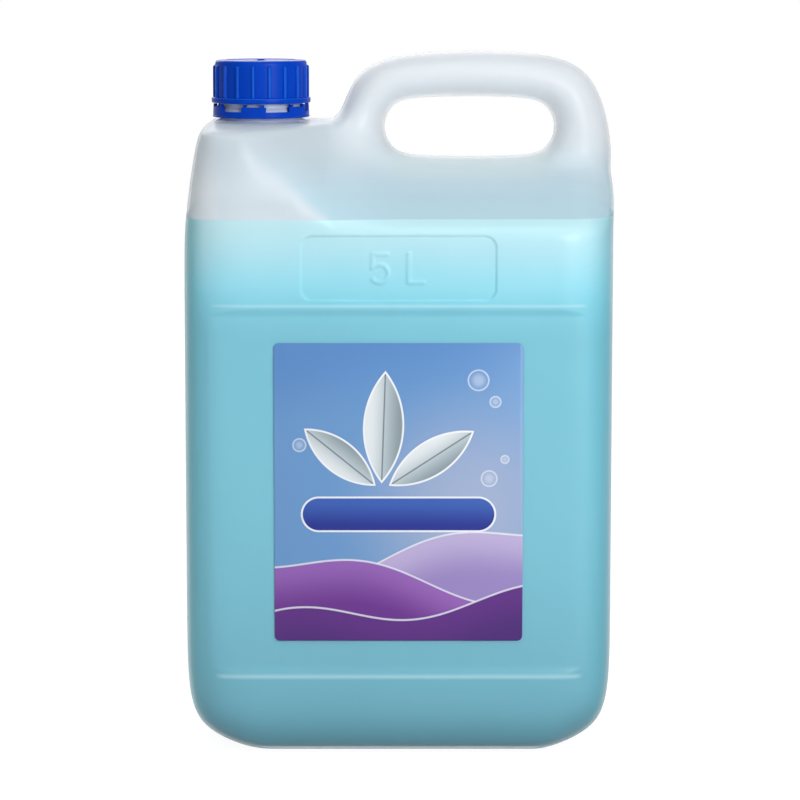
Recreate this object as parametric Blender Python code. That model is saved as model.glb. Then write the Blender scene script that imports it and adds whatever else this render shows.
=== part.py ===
"""A five-litre hand wash refill: a blow-moulded can, its liquid, label, screw cap and tamper band.

The front of the can faces -Y, X runs to the right, and Z is up from the face that the can stands on.
"""

import math

import bmesh
import bpy
from mathutils import Matrix, Vector
from mathutils.kdtree import KDTree

# The can's body
BODY_WIDTH = 0.181
BODY_DEPTH = 0.134
CORNER_RUN = 0.018
CORNER_NEAR = 0.3
CORNER_TIGHT = 0.45
CORNER_FAR = 1.25
BASE_RUN = 0.0265
BASE_END = 1.08
BASE_CORNER_UP = 0.25
BASE_CORNER_IN = 0.17
BODY_ROW = 2.1
TOTAL_HEIGHT = 0.2935
SHOULDER_DROP = 0.0287
SHOULDER_HEIGHT = TOTAL_HEIGHT - SHOULDER_DROP
SHOULDER_RUN = 0.010
SHOULDER_TUCK = 0.001
SHOULDER_TAPER = 0.0070
SHOULDER_ROW = 0.8
TAPER_POWER = 1.6
TAPER_LENGTH = 0.0548
WALL = 0.0012
FOOT_DEPTH = 0.0015
FOOT_RIM = 0.034
FOOT_PUSH = 0.0020
FOOT_DRAFT = 0.0010

# The neck's place, from which the slope and the handle follow
NECK_EDGE = 0.0318
NECK_X = NECK_EDGE - BODY_WIDTH / 2

# The slope from the front up to the handle
CREASE_DROP = 0.0408
CREASE_HEIGHT = SHOULDER_HEIGHT - CREASE_DROP
SLOPE_RISE = 0.0225
SLOPE_TURN = math.radians(44)
SLOPE_PAST_NECK = 0.0167
SLOPE_START_X = NECK_X + SLOPE_PAST_NECK
SLOPE_START_RISE = 0.0185
SLOPE_ROWS = (0.3, 0.76)
CREASE_ROW = 0.007
PANEL_ROW = 0.006

# The handle and its opening
HANDLE_DEPTH = 0.034
HANDLE_PAST_NECK = 0.0321
HANDLE_LEFT = NECK_X + HANDLE_PAST_NECK
HANDLE_SETBACK = 0.0009
HANDLE_RIGHT = BODY_WIDTH / 2 - HANDLE_SETBACK
HANDLE_LEFT_RADIUS = 0.0346
HANDLE_RIGHT_RADIUS = 0.0356
HANDLE_FOOT_FILLET = 0.0024
HANDLE_FOOT_DROP = 0.003
POST_SHIFT = 0.001
POST_SWELL = 0.0012
HANDLE_CROWN = 0.0009
HANDLE_FLAT = 0.18
HANDLE_EDGE = 0.24
SILL_EDGE = 0.17
LEFT_POST = 0.0208
RIGHT_POST = 0.0233
HANDLE_BAR = 0.0189
GRIP_HEIGHT = 0.0256
GRIP_LEFT = HANDLE_LEFT + LEFT_POST
GRIP_RIGHT = HANDLE_RIGHT - RIGHT_POST
GRIP_TOP = TOTAL_HEIGHT - HANDLE_BAR
GRIP_BOTTOM = GRIP_TOP - GRIP_HEIGHT

# Moulded panels
LABEL_PANEL_BOTTOM = 0.0350
LABEL_PANEL_DROP = 0.0330
LABEL_PANEL_TOP = CREASE_HEIGHT - LABEL_PANEL_DROP
LABEL_PANEL_DEPTH = 0.0016
LABEL_PANEL_FOOT = 0.0060
LABEL_PANEL_LEDGE = 0.0016
MARK_PANEL_WIDTH = 0.0803
MARK_PANEL_HEIGHT = 0.0264
MARK_PANEL_RISE = 0.0162
MARK_PANEL_RADIUS = 0.0045
MARK_PANEL_DEPTH = 0.0008
MARK_PANEL_DRAFT = 0.0004

# The neck
NECK_RADIUS = 0.0174
NECK_BORE_RADIUS = 0.0154
NECK_HEIGHT = 0.0219
NECK_SINK = 0.0040
BEAD_RADIUS = 0.0187
BEAD_HEIGHT = 0.0016
RIM_CHAMFER = 0.0006

# The cap, its wad and its tamper band
FIT = 0.0003
CAP_WALL = 0.0015
CAP_HEIGHT = 0.0180
CAP_TOP = 0.0016
CAP_ROUNDING = 0.0014
CAP_ROUNDING_STEPS = 3
CAP_RIB_COUNT = 18
CAP_RIB_ANGLE = math.radians(3.2)
CAP_RIB_FLANK = math.radians(1.2)
CAP_RIB_PROUD = 0.0008
CAP_RIB_END = 0.0006
CAP_EDGE = 0.0003
CAP_LEAD_IN = 0.0005
THREAD_ROOM = 0.0016
FLANGE_HEIGHT = 0.0022
FLANGE_PROUD = 0.0006
GATE_RADIUS = 0.0016
GATE_TIP_RADIUS = 0.0010
GATE_HEIGHT = 0.0007
GATE_EDGE = 0.0003
WAD_HEIGHT = 0.0012
BAND_TABS = 6
BAND_TURN = math.radians(-7.4)
BAND_FOOT = 0.0026
BAND_TAB = 0.0021
BRIDGE_HEIGHT = 0.0014
BRIDGE_ANGLE = math.radians(4)
BRIDGE_SPREAD = math.radians(11)
BAND_LIP = 0.0007
BAND_LIP_HEIGHT = 0.0008
BAND_LIP_SLOPE = 0.0003
BAND_BEAD = 0.0002
BAND_BEAD_FACE = 0.0003

# The label and the liquid
LABEL_SIDE_ROOM = 0.0390
LABEL_FOOT_ROOM = 0.0104
LABEL_HEAD_ROOM = 0.0132
LABEL_RADIUS = 0.0022
LABEL_THICKNESS = 0.0003
FILL_RISE = 0.0028
FILL_HEIGHT = CREASE_HEIGHT + FILL_RISE

# Fineness of the curved surfaces
SMOOTHING_LEVEL = 2
KEPT_SHARE = 0.27
ARC_SWELL = 3 / (2 + math.cos(math.pi / 4))
ROUND_SEGMENTS = 60
PANEL_CORNER_SEGMENTS = 5
OVERSHOOT = 0.004
CUT_SNAP = 0.000002
FACING_TILT = math.radians(25)
FACING_REACH = 0.004


def clear_scene():
    """Starts from an empty scene."""
    for old in list(bpy.data.objects):
        bpy.data.objects.remove(old, do_unlink=True)


def make_material(name, colour, roughness, metallic=0.0, alpha=1.0):
    """A plain Principled material."""
    material = bpy.data.materials.new(name)
    material.use_nodes = True
    shader = material.node_tree.nodes["Principled BSDF"]
    shader.inputs["Base Color"].default_value = (*colour, 1.0)
    shader.inputs["Roughness"].default_value = roughness
    shader.inputs["Metallic"].default_value = metallic
    shader.inputs["Alpha"].default_value = alpha
    return material


def object_from_bmesh(name, bm):
    """Puts a bmesh into the scene as an object with its faces pointing out."""
    bmesh.ops.recalc_face_normals(bm, faces=bm.faces)
    mesh = bpy.data.meshes.new(name)
    bm.to_mesh(mesh)
    bm.free()
    obj = bpy.data.objects.new(name, mesh)
    bpy.context.scene.collection.objects.link(obj)
    return obj


def helper(obj):
    """Marks an object as a cutter or a guide, which isn't part of the model."""
    obj.hide_render = True
    obj.display_type = "WIRE"
    return obj


def apply_modifiers(obj):
    """Replaces an object's mesh with its modified one."""
    graph = bpy.context.evaluated_depsgraph_get()
    mesh = bpy.data.meshes.new_from_object(obj.evaluated_get(graph))
    obj.modifiers.clear()
    obj.data = mesh
    return obj


def boolean(obj, other, operation):
    """Joins another object to this one, or cuts it out of it."""
    helper(other)
    modifier = obj.modifiers.new(operation.title(), "BOOLEAN")
    modifier.object = other
    modifier.operation = operation
    modifier.solver = "EXACT"
    apply_modifiers(obj)
    bpy.data.objects.remove(other, do_unlink=True)
    bm = bmesh.new()
    bm.from_mesh(obj.data)
    bmesh.ops.dissolve_degenerate(bm, edges=bm.edges, dist=CUT_SNAP)
    bmesh.ops.triangulate(bm, faces=bm.faces)
    bm.to_mesh(obj.data)
    bm.free()
    return obj


def hollow_out(obj, core):
    """Leaves a core's space empty inside an object, whose skin the core's own, turned inward, then joins."""
    helper(core)
    bm = bmesh.new()
    bm.from_mesh(core.data)
    bmesh.ops.reverse_faces(bm, faces=bm.faces)
    bm.from_mesh(obj.data)
    bm.to_mesh(obj.data)
    bm.free()
    bpy.data.objects.remove(core, do_unlink=True)
    return obj


def shade_round(obj, angle=math.radians(30)):
    """Smooth shading with sharp edges where the surface turns."""
    obj.data.shade_smooth()
    obj.data.set_sharp_from_angle(angle=angle)


def revolve(name, profile, segments=ROUND_SEGMENTS):
    """A closed turned body about the neck's axis. The profile holds (radius, height) pairs."""
    bm = bmesh.new()
    points = [bm.verts.new((NECK_X + radius, 0.0, height)) for radius, height in profile]
    edges = [bm.edges.new((a, b)) for a, b in zip(points, points[1:])]
    if profile[0][0] > 0.0:
        edges.append(bm.edges.new((points[-1], points[0])))
    bmesh.ops.spin(
        bm,
        geom=points + edges,
        cent=(NECK_X, 0.0, 0.0),
        axis=(0.0, 0.0, 1.0),
        angle=math.tau,
        steps=segments,
        use_merge=True,
    )
    bmesh.ops.remove_doubles(bm, verts=bm.verts, dist=1e-6)
    return object_from_bmesh(name, bm)


def rounded_rectangle(width, height, radius, middle_z, segments=PANEL_CORNER_SEGMENTS):
    """Points (x, z) round a rectangle with rounded corners, seen from the front."""
    points = []
    for turn in range(4):
        side_x = 1 if turn in (0, 3) else -1
        side_z = 1 if turn in (0, 1) else -1
        centre_x = side_x * (width / 2 - radius)
        centre_z = middle_z + side_z * (height / 2 - radius)
        for step in range(segments + 1):
            angle = (turn + step / segments) * math.pi / 2
            points.append((centre_x + radius * math.cos(angle), centre_z + radius * math.sin(angle)))
    return points


def loft_between(name, rings):
    """A closed body through rings of as many points each, with both end rings filled."""
    bm = bmesh.new()
    loops = [[bm.verts.new(point) for point in ring] for ring in rings]
    for lower, upper in zip(loops, loops[1:]):
        for here in range(len(lower)):
            after = (here + 1) % len(lower)
            bm.faces.new((lower[here], lower[after], upper[after], upper[here]))
    bm.faces.new(loops[0])
    bm.faces.new(loops[-1])
    return object_from_bmesh(name, bm)


# The can's form: a cage of points over the front view, mirrored to the back and smoothed


def half_depth(x, z):
    """Half the depth of the can's cage over a point of its front view."""
    past_level = z - CREASE_HEIGHT
    start_z = CREASE_HEIGHT + SLOPE_START_RISE
    past_diagonal = (x - SLOPE_START_X) * math.sin(SLOPE_TURN) + (z - start_z) * math.cos(SLOPE_TURN)
    share = min(max(min(past_level, past_diagonal) / SLOPE_RISE, 0.0), 1.0)
    return BODY_DEPTH / 2 + (HANDLE_DEPTH - BODY_DEPTH) / 2 * share


def side_reach(z):
    """How far the can's left side reaches from its middle plane at a height."""
    share = max(z - SHOULDER_HEIGHT + TAPER_LENGTH, 0.0) / TAPER_LENGTH
    return BODY_WIDTH / 2 - SHOULDER_TAPER * share**TAPER_POWER


def post_reach(z):
    """How far the can's right side and the handle's post over it reach at a height."""
    if z <= CREASE_HEIGHT:
        return BODY_WIDTH / 2
    share = (z - CREASE_HEIGHT) / (GRIP_TOP - CREASE_HEIGHT)
    return BODY_WIDTH / 2 + (HANDLE_RIGHT - BODY_WIDTH / 2) * share + POST_SWELL


def toward(start, end, share):
    """The point a share of the way from one front-view point to another."""
    return tuple(a + (b - a) * share for a, b in zip(start, end))


def beyond(outline, inner):
    """The middle plane's cage point whose smoothed surface passes through a point of the outline."""
    return toward(outline, inner, -0.5)


def grip_loop():
    """The outline of the handle's opening: ten cage points (x, z) from its left end, clockwise."""
    radius = (GRIP_TOP - GRIP_BOTTOM) / 2
    middle = (GRIP_TOP + GRIP_BOTTOM) / 2
    swell = ARC_SWELL * radius
    slant = swell * math.sin(math.pi / 4)
    left = GRIP_LEFT + radius
    right = GRIP_RIGHT - radius
    return [
        (left - swell, middle),
        (left - slant, middle + slant),
        (left, middle + radius),
        (right, middle + radius),
        (right + slant, middle + slant),
        (right + swell, middle),
        (right + slant, middle - slant),
        (right, middle - radius),
        (left, middle - radius),
        (left - slant, middle - slant),
    ]


def arch_outline():
    """The outline over the handle: six cage points (x, z) from its foot on the shoulder to its outer post."""
    left = HANDLE_LEFT + HANDLE_LEFT_RADIUS
    right = HANDLE_RIGHT - HANDLE_RIGHT_RADIUS
    slant_left = HANDLE_LEFT_RADIUS * ARC_SWELL * math.sin(math.pi / 4)
    slant_right = HANDLE_RIGHT_RADIUS * ARC_SWELL * math.sin(math.pi / 4)
    top = TOTAL_HEIGHT + HANDLE_CROWN
    return [
        (HANDLE_LEFT + HANDLE_FOOT_FILLET, SHOULDER_HEIGHT + HANDLE_FOOT_FILLET),
        (left - slant_left, TOTAL_HEIGHT - HANDLE_LEFT_RADIUS + slant_left),
        (left - HANDLE_FLAT * HANDLE_LEFT_RADIUS, top),
        (right + HANDLE_FLAT * HANDLE_RIGHT_RADIUS, top),
        (right + slant_right + HANDLE_CROWN, TOTAL_HEIGHT - HANDLE_RIGHT_RADIUS + slant_right + HANDLE_CROWN),
        (HANDLE_RIGHT + HANDLE_CROWN, (GRIP_TOP + GRIP_BOTTOM) / 2),
    ]


def sheet_columns():
    """X of the cage's columns, from the left side to the right. Four of them meet the opening's points."""
    grip = grip_loop()
    edge = BODY_WIDTH / 2 - CORNER_RUN
    return [
        -edge,
        NECK_X,
        SLOPE_START_X,
        HANDLE_LEFT,
        grip[9][0],
        grip[8][0],
        grip[7][0],
        grip[6][0],
        edge,
    ]


def sheet_rows():
    """Z of the cage's rows, from the foot of the front to the foot of the handle."""
    slope_top = CREASE_HEIGHT + SLOPE_RISE
    return [
        BASE_RUN,
        BODY_ROW * BASE_RUN,
        LABEL_PANEL_TOP + PANEL_ROW,
        CREASE_HEIGHT - CREASE_ROW,
        CREASE_HEIGHT,
        CREASE_HEIGHT + SLOPE_ROWS[0] * SLOPE_RISE,
        CREASE_HEIGHT + SLOPE_ROWS[1] * SLOPE_RISE,
        slope_top,
    ]


def shoulder_row_height():
    """Z of the cage's topmost row on the left, just under the shoulder."""
    return SHOULDER_HEIGHT - SHOULDER_ROW * SHOULDER_RUN


class Cage:
    """A cage of named points on the front half, its faces, and their mirror images on the back."""

    def __init__(self):
        self.points = {}
        self.faces = []

    def add(self, key, x, y, z):
        """Names a point. Those on the middle plane are shared by both halves."""
        self.points[key] = (x, y, z)

    def face(self, *keys):
        """Adds a face by its points' names."""
        self.faces.append(keys)

    def to_object(self, name):
        """Both halves as one closed object."""
        bm = bmesh.new()
        front = {key: bm.verts.new(point) for key, point in self.points.items()}
        back = {}
        for key, (x, y, z) in self.points.items():
            back[key] = front[key] if abs(y) < 1e-9 else bm.verts.new((x, -y, z))
        for keys in self.faces:
            bm.faces.new([front[key] for key in keys])
            bm.faces.new([back[key] for key in reversed(keys)])
        return object_from_bmesh(name, bm)


def sheet_key(column, row):
    """The name of a grid point. Those of the top row under the opening are the opening's own."""
    if row == 7 and 4 <= column <= 7:
        return ("grip", 13 - column)
    return ("sheet", column, row)


def add_front_sheet(cage):
    """The cage's grid over the front and the slope."""
    columns = sheet_columns()
    rows = sheet_rows()
    grip = grip_loop()
    for i, x in enumerate(columns):
        for j, z in enumerate(rows[:7]):
            cage.add(("sheet", i, j), x, -half_depth(x, z), z)
    shoulder_row = shoulder_row_height()
    for i in range(3):
        cage.add(("sheet", i, 7), columns[i], -half_depth(columns[i], shoulder_row), shoulder_row)
    foot_z = shoulder_row - HANDLE_FOOT_DROP
    cage.add(("sheet", 3, 7), columns[3], -half_depth(columns[3], foot_z), foot_z)
    post_x = (grip[6][0] + post_reach(rows[7])) / 2 + POST_SHIFT
    cage.add(("sheet", 8, 7), post_x, -half_depth(post_x, rows[7]), rows[7])
    for i in range(8):
        for j in range(7):
            cage.face(sheet_key(i, j), sheet_key(i + 1, j), sheet_key(i + 1, j + 1), sheet_key(i, j + 1))


def add_handle(cage):
    """The handle's arch over its opening, and the opening's own wall."""
    grip = grip_loop()
    arch = arch_outline()
    half = HANDLE_DEPTH / 2
    for spot, outline in enumerate(grip):
        if spot < 6:
            inner = toward(outline, arch[spot], HANDLE_EDGE)
        else:
            inner = toward(outline, (outline[0], CREASE_HEIGHT), SILL_EDGE)
        edge = beyond(outline, inner)
        cage.add(("grip_wall", spot), edge[0], 0.0, edge[1])
        cage.add(("grip", spot), inner[0], -half, inner[1])
    for spot, outline in enumerate(arch):
        inner = toward(outline, grip[spot], HANDLE_EDGE)
        edge = beyond(outline, inner)
        cage.add(("arch", spot), inner[0], -half, inner[1])
        cage.add(("arch_edge", spot), edge[0], 0.0, edge[1])
    for spot in range(10):
        after = (spot + 1) % 10
        cage.face(("grip_wall", spot), ("grip_wall", after), ("grip", after), ("grip", spot))
    for spot in range(5):
        cage.face(("grip", spot), ("grip", spot + 1), ("arch", spot + 1), ("arch", spot))
        cage.face(("arch", spot), ("arch", spot + 1), ("arch_edge", spot + 1), ("arch_edge", spot))


def rim_stations():
    """Round the can's outline: each station has its sheet point, if any, its (x, z) and its rounding."""
    columns = sheet_columns()
    rows = sheet_rows()
    half_width = BODY_WIDTH / 2
    shoulder_row = shoulder_row_height()
    pull = (half_width - BASE_END * BASE_RUN) / (half_width - CORNER_RUN)
    bottom = [(("sheet", i, 0), (x * pull, -FOOT_DEPTH)) for i, x in enumerate(columns)]
    right = [(("sheet", 8, j), (post_reach(z), z)) for j, z in enumerate(rows)]
    left = [(("sheet", 0, j), (-side_reach(z), z)) for j, z in enumerate(rows[:7] + [shoulder_row])]
    top = [(("sheet", i, 7), (columns[i], SHOULDER_HEIGHT)) for i in range(3)]
    low = BASE_CORNER_UP * BASE_RUN
    in_low = BASE_CORNER_IN * BASE_RUN
    high_x = side_reach(SHOULDER_HEIGHT) - SHOULDER_TUCK
    stations = [(key, spot, CORNER_RUN) for key, spot in bottom]
    stations += [(None, (half_width - in_low, low), CORNER_RUN)]
    stations += [(key, spot, CORNER_RUN) for key, spot in right]
    stations += [(key, spot, SHOULDER_RUN) for key, spot in reversed(top)]
    stations += [(None, (-high_x, SHOULDER_HEIGHT), SHOULDER_RUN)]
    stations += [(key, spot, CORNER_RUN) for key, spot in reversed(left)]
    stations += [(None, (-(half_width - in_low), low), CORNER_RUN)]
    return stations


def add_rim(cage):
    """Three rings of points that round the front over to the middle plane, all along the outline."""
    stations = rim_stations()
    count = len(stations)
    last_right = len(sheet_columns()) + len(sheet_rows())
    first_top = last_right + 1
    for here, (key, (x, z), run) in enumerate(stations):
        corner = key is None
        if corner:
            key = stations[here - 1][0]
        sheet = cage.points[key]
        depth = -sheet[1]
        run = min(run, 0.5 * depth)
        pull = CORNER_TIGHT if corner else CORNER_NEAR
        inset = toward((x, z), (sheet[0], sheet[2]), pull)
        cage.add(("near", here), inset[0], -(depth - pull * run), inset[1])
        cage.add(("far", here), x, -(depth - (CORNER_FAR if corner else 1.0) * run), z)
        edge = beyond((x, z), inset) if here == last_right else (x, z)
        cage.add(("edge", here), edge[0], 0.0, edge[1])
    for here, (key, spot, run) in enumerate(stations):
        after = (here + 1) % count
        if here == last_right:
            continue
        if not (here == last_right - 1):
            cage.face(("far", here), ("edge", here), ("edge", after), ("far", after))
            cage.face(("near", here), ("far", here), ("far", after), ("near", after))
        else:
            cage.face(("near", here), ("far", here), ("edge", here), ("edge", after), ("near", after))
        next_key = stations[after][0]
        if key is not None and next_key is not None and key != next_key:
            cage.face(key, ("near", here), ("near", after), next_key)
        elif key is None:
            corner_key = stations[here - 1][0]
            cage.face(corner_key, ("near", here - 1), ("near", here), ("near", after))
    cage.points.pop(("far", last_right))
    post = stations[last_right][0]
    cage.face(("near", last_right), ("edge", last_right), ("arch_edge", 5), ("arch", 5))
    cage.face(("grip", 6), post, ("near", last_right), ("arch", 5), ("grip", 5))
    foot = stations[first_top][0]
    cage.face(("arch", 0), ("arch_edge", 0), ("edge", first_top), ("far", first_top), ("near", first_top))
    cage.face(foot, ("sheet", 3, 7), ("arch", 0), ("near", first_top))
    cage.face(("sheet", 3, 7), ("grip", 9), ("grip", 0), ("arch", 0))


def can_form(inset=0.0):
    """The can's smooth form, solid. An inset gives the form that lies so far inside it."""
    cage = Cage()
    add_handle(cage)
    add_front_sheet(cage)
    add_rim(cage)
    form = cage.to_object("can_form")
    smooth = form.modifiers.new("Smooth", "SUBSURF")
    smooth.levels = SMOOTHING_LEVEL
    smooth.render_levels = SMOOTHING_LEVEL
    apply_modifiers(form)
    skin = KDTree(len(form.data.vertices))
    for vert in form.data.vertices:
        skin.insert(vert.co, vert.index)
    skin.balance()
    normals = [vert.normal.copy() for vert in form.data.vertices]
    fewer = form.modifiers.new("Fewer", "DECIMATE")
    fewer.ratio = KEPT_SHARE
    fewer.use_symmetry = True
    fewer.symmetry_axis = "Y"
    apply_modifiers(form)
    bm = bmesh.new()
    bm.from_mesh(form.data)
    bmesh.ops.triangulate(bm, faces=bm.faces)
    for vert in bm.verts:
        nearest = skin.find(vert.co)[1]
        vert.co -= normals[nearest] * inset
    bm.to_mesh(form.data)
    bm.free()
    return form


def cut_level(bm, height, side):
    """Cuts a form off above (side 1) or below (side -1) a height, and closes it there."""
    geometry = bm.verts[:] + bm.edges[:] + bm.faces[:]
    cut = bmesh.ops.bisect_plane(
        bm, geom=geometry, plane_co=(0, 0, height), plane_no=(0, 0, side), clear_outer=True, dist=CUT_SNAP
    )
    rim = [item for item in cut["geom_cut"] if isinstance(item, bmesh.types.BMEdge)]
    bmesh.ops.edgeloop_fill(bm, edges=rim)
    bmesh.ops.recalc_face_normals(bm, faces=bm.faces)


def mitred(first, second, distance):
    """How far a corner between two faces moves when both move by a distance along their normals."""
    return (first + second) * (distance / (1 + first.dot(second)))


def label_panel_profile(inset):
    """The label panel's section as (depth, height) points: its foot, its floor and its top ledge."""
    outline = [
        Vector((0.0, LABEL_PANEL_BOTTOM)),
        Vector((LABEL_PANEL_DEPTH, LABEL_PANEL_BOTTOM + LABEL_PANEL_FOOT)),
        Vector((LABEL_PANEL_DEPTH, LABEL_PANEL_TOP - LABEL_PANEL_LEDGE)),
        Vector((0.0, LABEL_PANEL_TOP)),
    ]
    inward = [Vector((1.0, 0.0))]
    for low, high in zip(outline, outline[1:]):
        along = (high - low).normalized()
        inward.append(Vector((along.y, -along.x)))
    inward.append(Vector((1.0, 0.0)))
    return [spot + mitred(inward[i], inward[i + 1], inset) for i, spot in enumerate(outline)]


def with_borders(faces):
    """Some faces with their points and edges, as the geometry of a cut."""
    geometry = set(faces)
    for face in faces:
        geometry.update(face.verts)
        geometry.update(face.edges)
    return list(geometry)


def cut_faces(bm, faces, place, normal):
    """Cuts some faces along a plane, and returns them as they then are."""
    cut = bmesh.ops.bisect_plane(bm, geom=with_borders(faces), plane_co=place, plane_no=normal, dist=CUT_SNAP)
    return [item for item in cut["geom"] if isinstance(item, bmesh.types.BMFace)]


def press_label_panel(bm, side, inset):
    """Presses the label's shallow panel into the front (side -1) or the back (side 1)."""
    profile = label_panel_profile(inset)
    faces = [face for face in bm.faces if side * face.calc_center_median().y > BODY_DEPTH / 4]
    for depth, height in profile:
        faces = cut_faces(bm, faces, (0, 0, height), (0, 0, 1))
    for (depth, low), (next_depth, high) in zip(profile, profile[1:]):
        middle = (low + high) / 2
        reach = (high - low) / 2
        band = [face for face in faces if abs(face.calc_center_median().z - middle) < reach]
        rest = set(faces).difference(band)
        place = Vector((0, side * (BODY_DEPTH / 2 - depth), low))
        normal = Vector((0, side * (high - low), next_depth - depth)).normalized()
        band = cut_faces(bm, band, place, normal)
        for vert in {vert for face in band for vert in face.verts}:
            proud = (vert.co - place).dot(normal)
            if proud > 0:
                vert.co.y -= proud / normal.y
        faces = list(rest.union(band))


def facing(bm, outline, outward):
    """The faces near an outline that look outward and reach over its place."""
    bm.normal_update()
    found = []
    for face in bm.faces:
        away = abs((face.calc_center_median() - outline[0]).dot(outward))
        if away > FACING_REACH or face.normal.dot(outward) < math.cos(FACING_TILT):
            continue
        beside = False
        for axis in range(3):
            places = [vert.co[axis] for vert in face.verts]
            spots = [spot[axis] for spot in outline]
            if not outward[axis] and (max(places) < min(spots) or min(places) > max(spots)):
                beside = True
        if not beside:
            found.append(face)
    return found


def knifed(bm, faces, outline, outward):
    """Cuts a convex outline, which turns left seen from outside, into faces and returns those inside it."""
    for here, after in zip(outline, outline[1:] + outline[:1]):
        away = (after - here).cross(outward)
        faces = cut_faces(bm, faces, here, away)
        faces = [face for face in faces if (face.calc_center_median() - here).dot(away) < 0]
    return faces


def press_pocket(bm, outline, outward, draft, depth):
    """Presses a pocket with drafted walls into the faces inside an outline."""
    pocket = knifed(bm, facing(bm, outline, outward), outline, outward)
    bmesh.ops.inset_region(bm, faces=pocket, thickness=draft, depth=-depth, use_even_offset=True)


def wall_shift(draft, depth, inset):
    """How far a pocket's outline grows on the skin that lies an inset inside the outer one."""
    wall = Vector((depth, draft)).normalized()
    return mitred(Vector((0.0, 1.0)), wall, inset).x


def press_mark_panel(bm, inset):
    """The small rounded panel above the label, where a can carries its moulded capacity mark."""
    shift = wall_shift(MARK_PANEL_DRAFT, MARK_PANEL_DEPTH, inset) + MARK_PANEL_DRAFT
    width = MARK_PANEL_WIDTH + 2 * shift
    height = MARK_PANEL_HEIGHT + 2 * shift
    middle = LABEL_PANEL_TOP + MARK_PANEL_RISE
    face_y = -(BODY_DEPTH / 2 - inset)
    spots = rounded_rectangle(width, height, MARK_PANEL_RADIUS + shift, middle)
    outline = [Vector((x, face_y, z)) for x, z in spots]
    press_pocket(bm, outline, Vector((0, -1, 0)), MARK_PANEL_DRAFT, MARK_PANEL_DEPTH)


def press_foot(bm, inset):
    """The push-up in the base, which leaves a rim to stand on."""
    shift = wall_shift(FOOT_DRAFT, FOOT_PUSH, inset)
    width = BODY_WIDTH - 2 * FOOT_RIM + 2 * shift
    length = BODY_DEPTH - 2 * FOOT_RIM + 2 * shift
    spots = rounded_rectangle(width, length, CORNER_RUN + shift, 0.0)
    outline = [Vector((x, -y, inset)) for x, y in spots]
    press_pocket(bm, outline, Vector((0, 0, -1)), FOOT_DRAFT, FOOT_PUSH)


def moulded_form(name, inset):
    """The can's form with its recesses, as its outer skin or as a skin that lies an inset inside it."""
    form = can_form(inset)
    form.name = name
    bm = bmesh.new()
    bm.from_mesh(form.data)
    cut_level(bm, inset, -1)
    for side in (-1, 1):
        press_label_panel(bm, side, inset)
    bmesh.ops.dissolve_degenerate(bm, edges=bm.edges, dist=CUT_SNAP)
    press_mark_panel(bm, inset)
    press_foot(bm, inset)
    bmesh.ops.dissolve_degenerate(bm, edges=bm.edges, dist=CUT_SNAP)
    bmesh.ops.triangulate(bm, faces=bm.faces)
    bmesh.ops.recalc_face_normals(bm, faces=bm.faces)
    bm.to_mesh(form.data)
    bm.free()
    return form


def neck_body():
    """The neck's outside: the plain finish that carries the thread, and the bead under the tamper band."""
    root = SHOULDER_HEIGHT - NECK_SINK
    rim = neck_rim()
    bead_foot = band_foot() + band_lip_top() + FIT
    slope = BEAD_RADIUS - NECK_RADIUS
    profile = [
        (0.0, root),
        (NECK_RADIUS, root),
        (NECK_RADIUS, bead_foot),
        (BEAD_RADIUS, bead_foot),
        (BEAD_RADIUS, bead_foot + BEAD_HEIGHT),
        (NECK_RADIUS, bead_foot + BEAD_HEIGHT + slope),
        (NECK_RADIUS, rim - RIM_CHAMFER),
        (NECK_RADIUS - RIM_CHAMFER, rim),
        (0.0, rim),
    ]
    return revolve("neck_body", profile)


def neck_bore():
    """The hole down the neck into the can."""
    low = SHOULDER_HEIGHT - WALL - OVERSHOOT
    high = neck_rim() + OVERSHOOT
    return revolve("neck_bore", [(0.0, low), (NECK_BORE_RADIUS, low), (NECK_BORE_RADIUS, high), (0.0, high)])


def make_bottle():
    """The can as one thin shell open at its neck."""
    bottle = moulded_form("bottle", 0.0)
    boolean(bottle, neck_body(), "UNION")
    hollow_out(bottle, moulded_form("cavity", WALL))
    boolean(bottle, neck_bore(), "DIFFERENCE")
    shade_round(bottle)
    bottle.data.materials.clear()
    bottle.data.materials.append(make_material("milky_polyethylene", (0.80, 0.86, 0.90), 0.35, alpha=0.45))


def make_liquid():
    """The hand wash: it fills the can up to its level."""
    liquid = moulded_form("hand_wash", WALL + FIT)
    bm = bmesh.new()
    bm.from_mesh(liquid.data)
    cut_level(bm, FILL_HEIGHT, 1)
    bm.to_mesh(liquid.data)
    bm.free()
    shade_round(liquid)
    liquid.data.materials.clear()
    liquid.data.materials.append(make_material("hand_wash_liquid", (0.20, 0.62, 0.72), 0.10))


def make_label():
    """The label: a thin film with rounded corners on the floor of its panel."""
    near_y = -(BODY_DEPTH / 2 - LABEL_PANEL_DEPTH + FIT)
    low = LABEL_PANEL_BOTTOM + LABEL_PANEL_FOOT + LABEL_FOOT_ROOM
    high = LABEL_PANEL_TOP - LABEL_PANEL_LEDGE - LABEL_HEAD_ROOM
    width = BODY_WIDTH - 2 * LABEL_SIDE_ROOM
    outline = rounded_rectangle(width, high - low, LABEL_RADIUS, (low + high) / 2)
    rings = [[(x, y, z) for x, z in outline] for y in (near_y, near_y - LABEL_THICKNESS)]
    label = loft_between("front_label", rings)
    label.data.materials.append(make_material("label_film", (0.25, 0.42, 0.72), 0.35))


# The closure


def cap_bore():
    """Inner radius of the cap's skirt."""
    return NECK_RADIUS + THREAD_ROOM


def neck_rim():
    """Height of the neck's rim."""
    return SHOULDER_HEIGHT + NECK_HEIGHT


def cap_ceiling():
    """Height of the cap's inner face: the wad lies between it and the neck's rim."""
    return neck_rim() + WAD_HEIGHT + 2 * FIT


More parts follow.
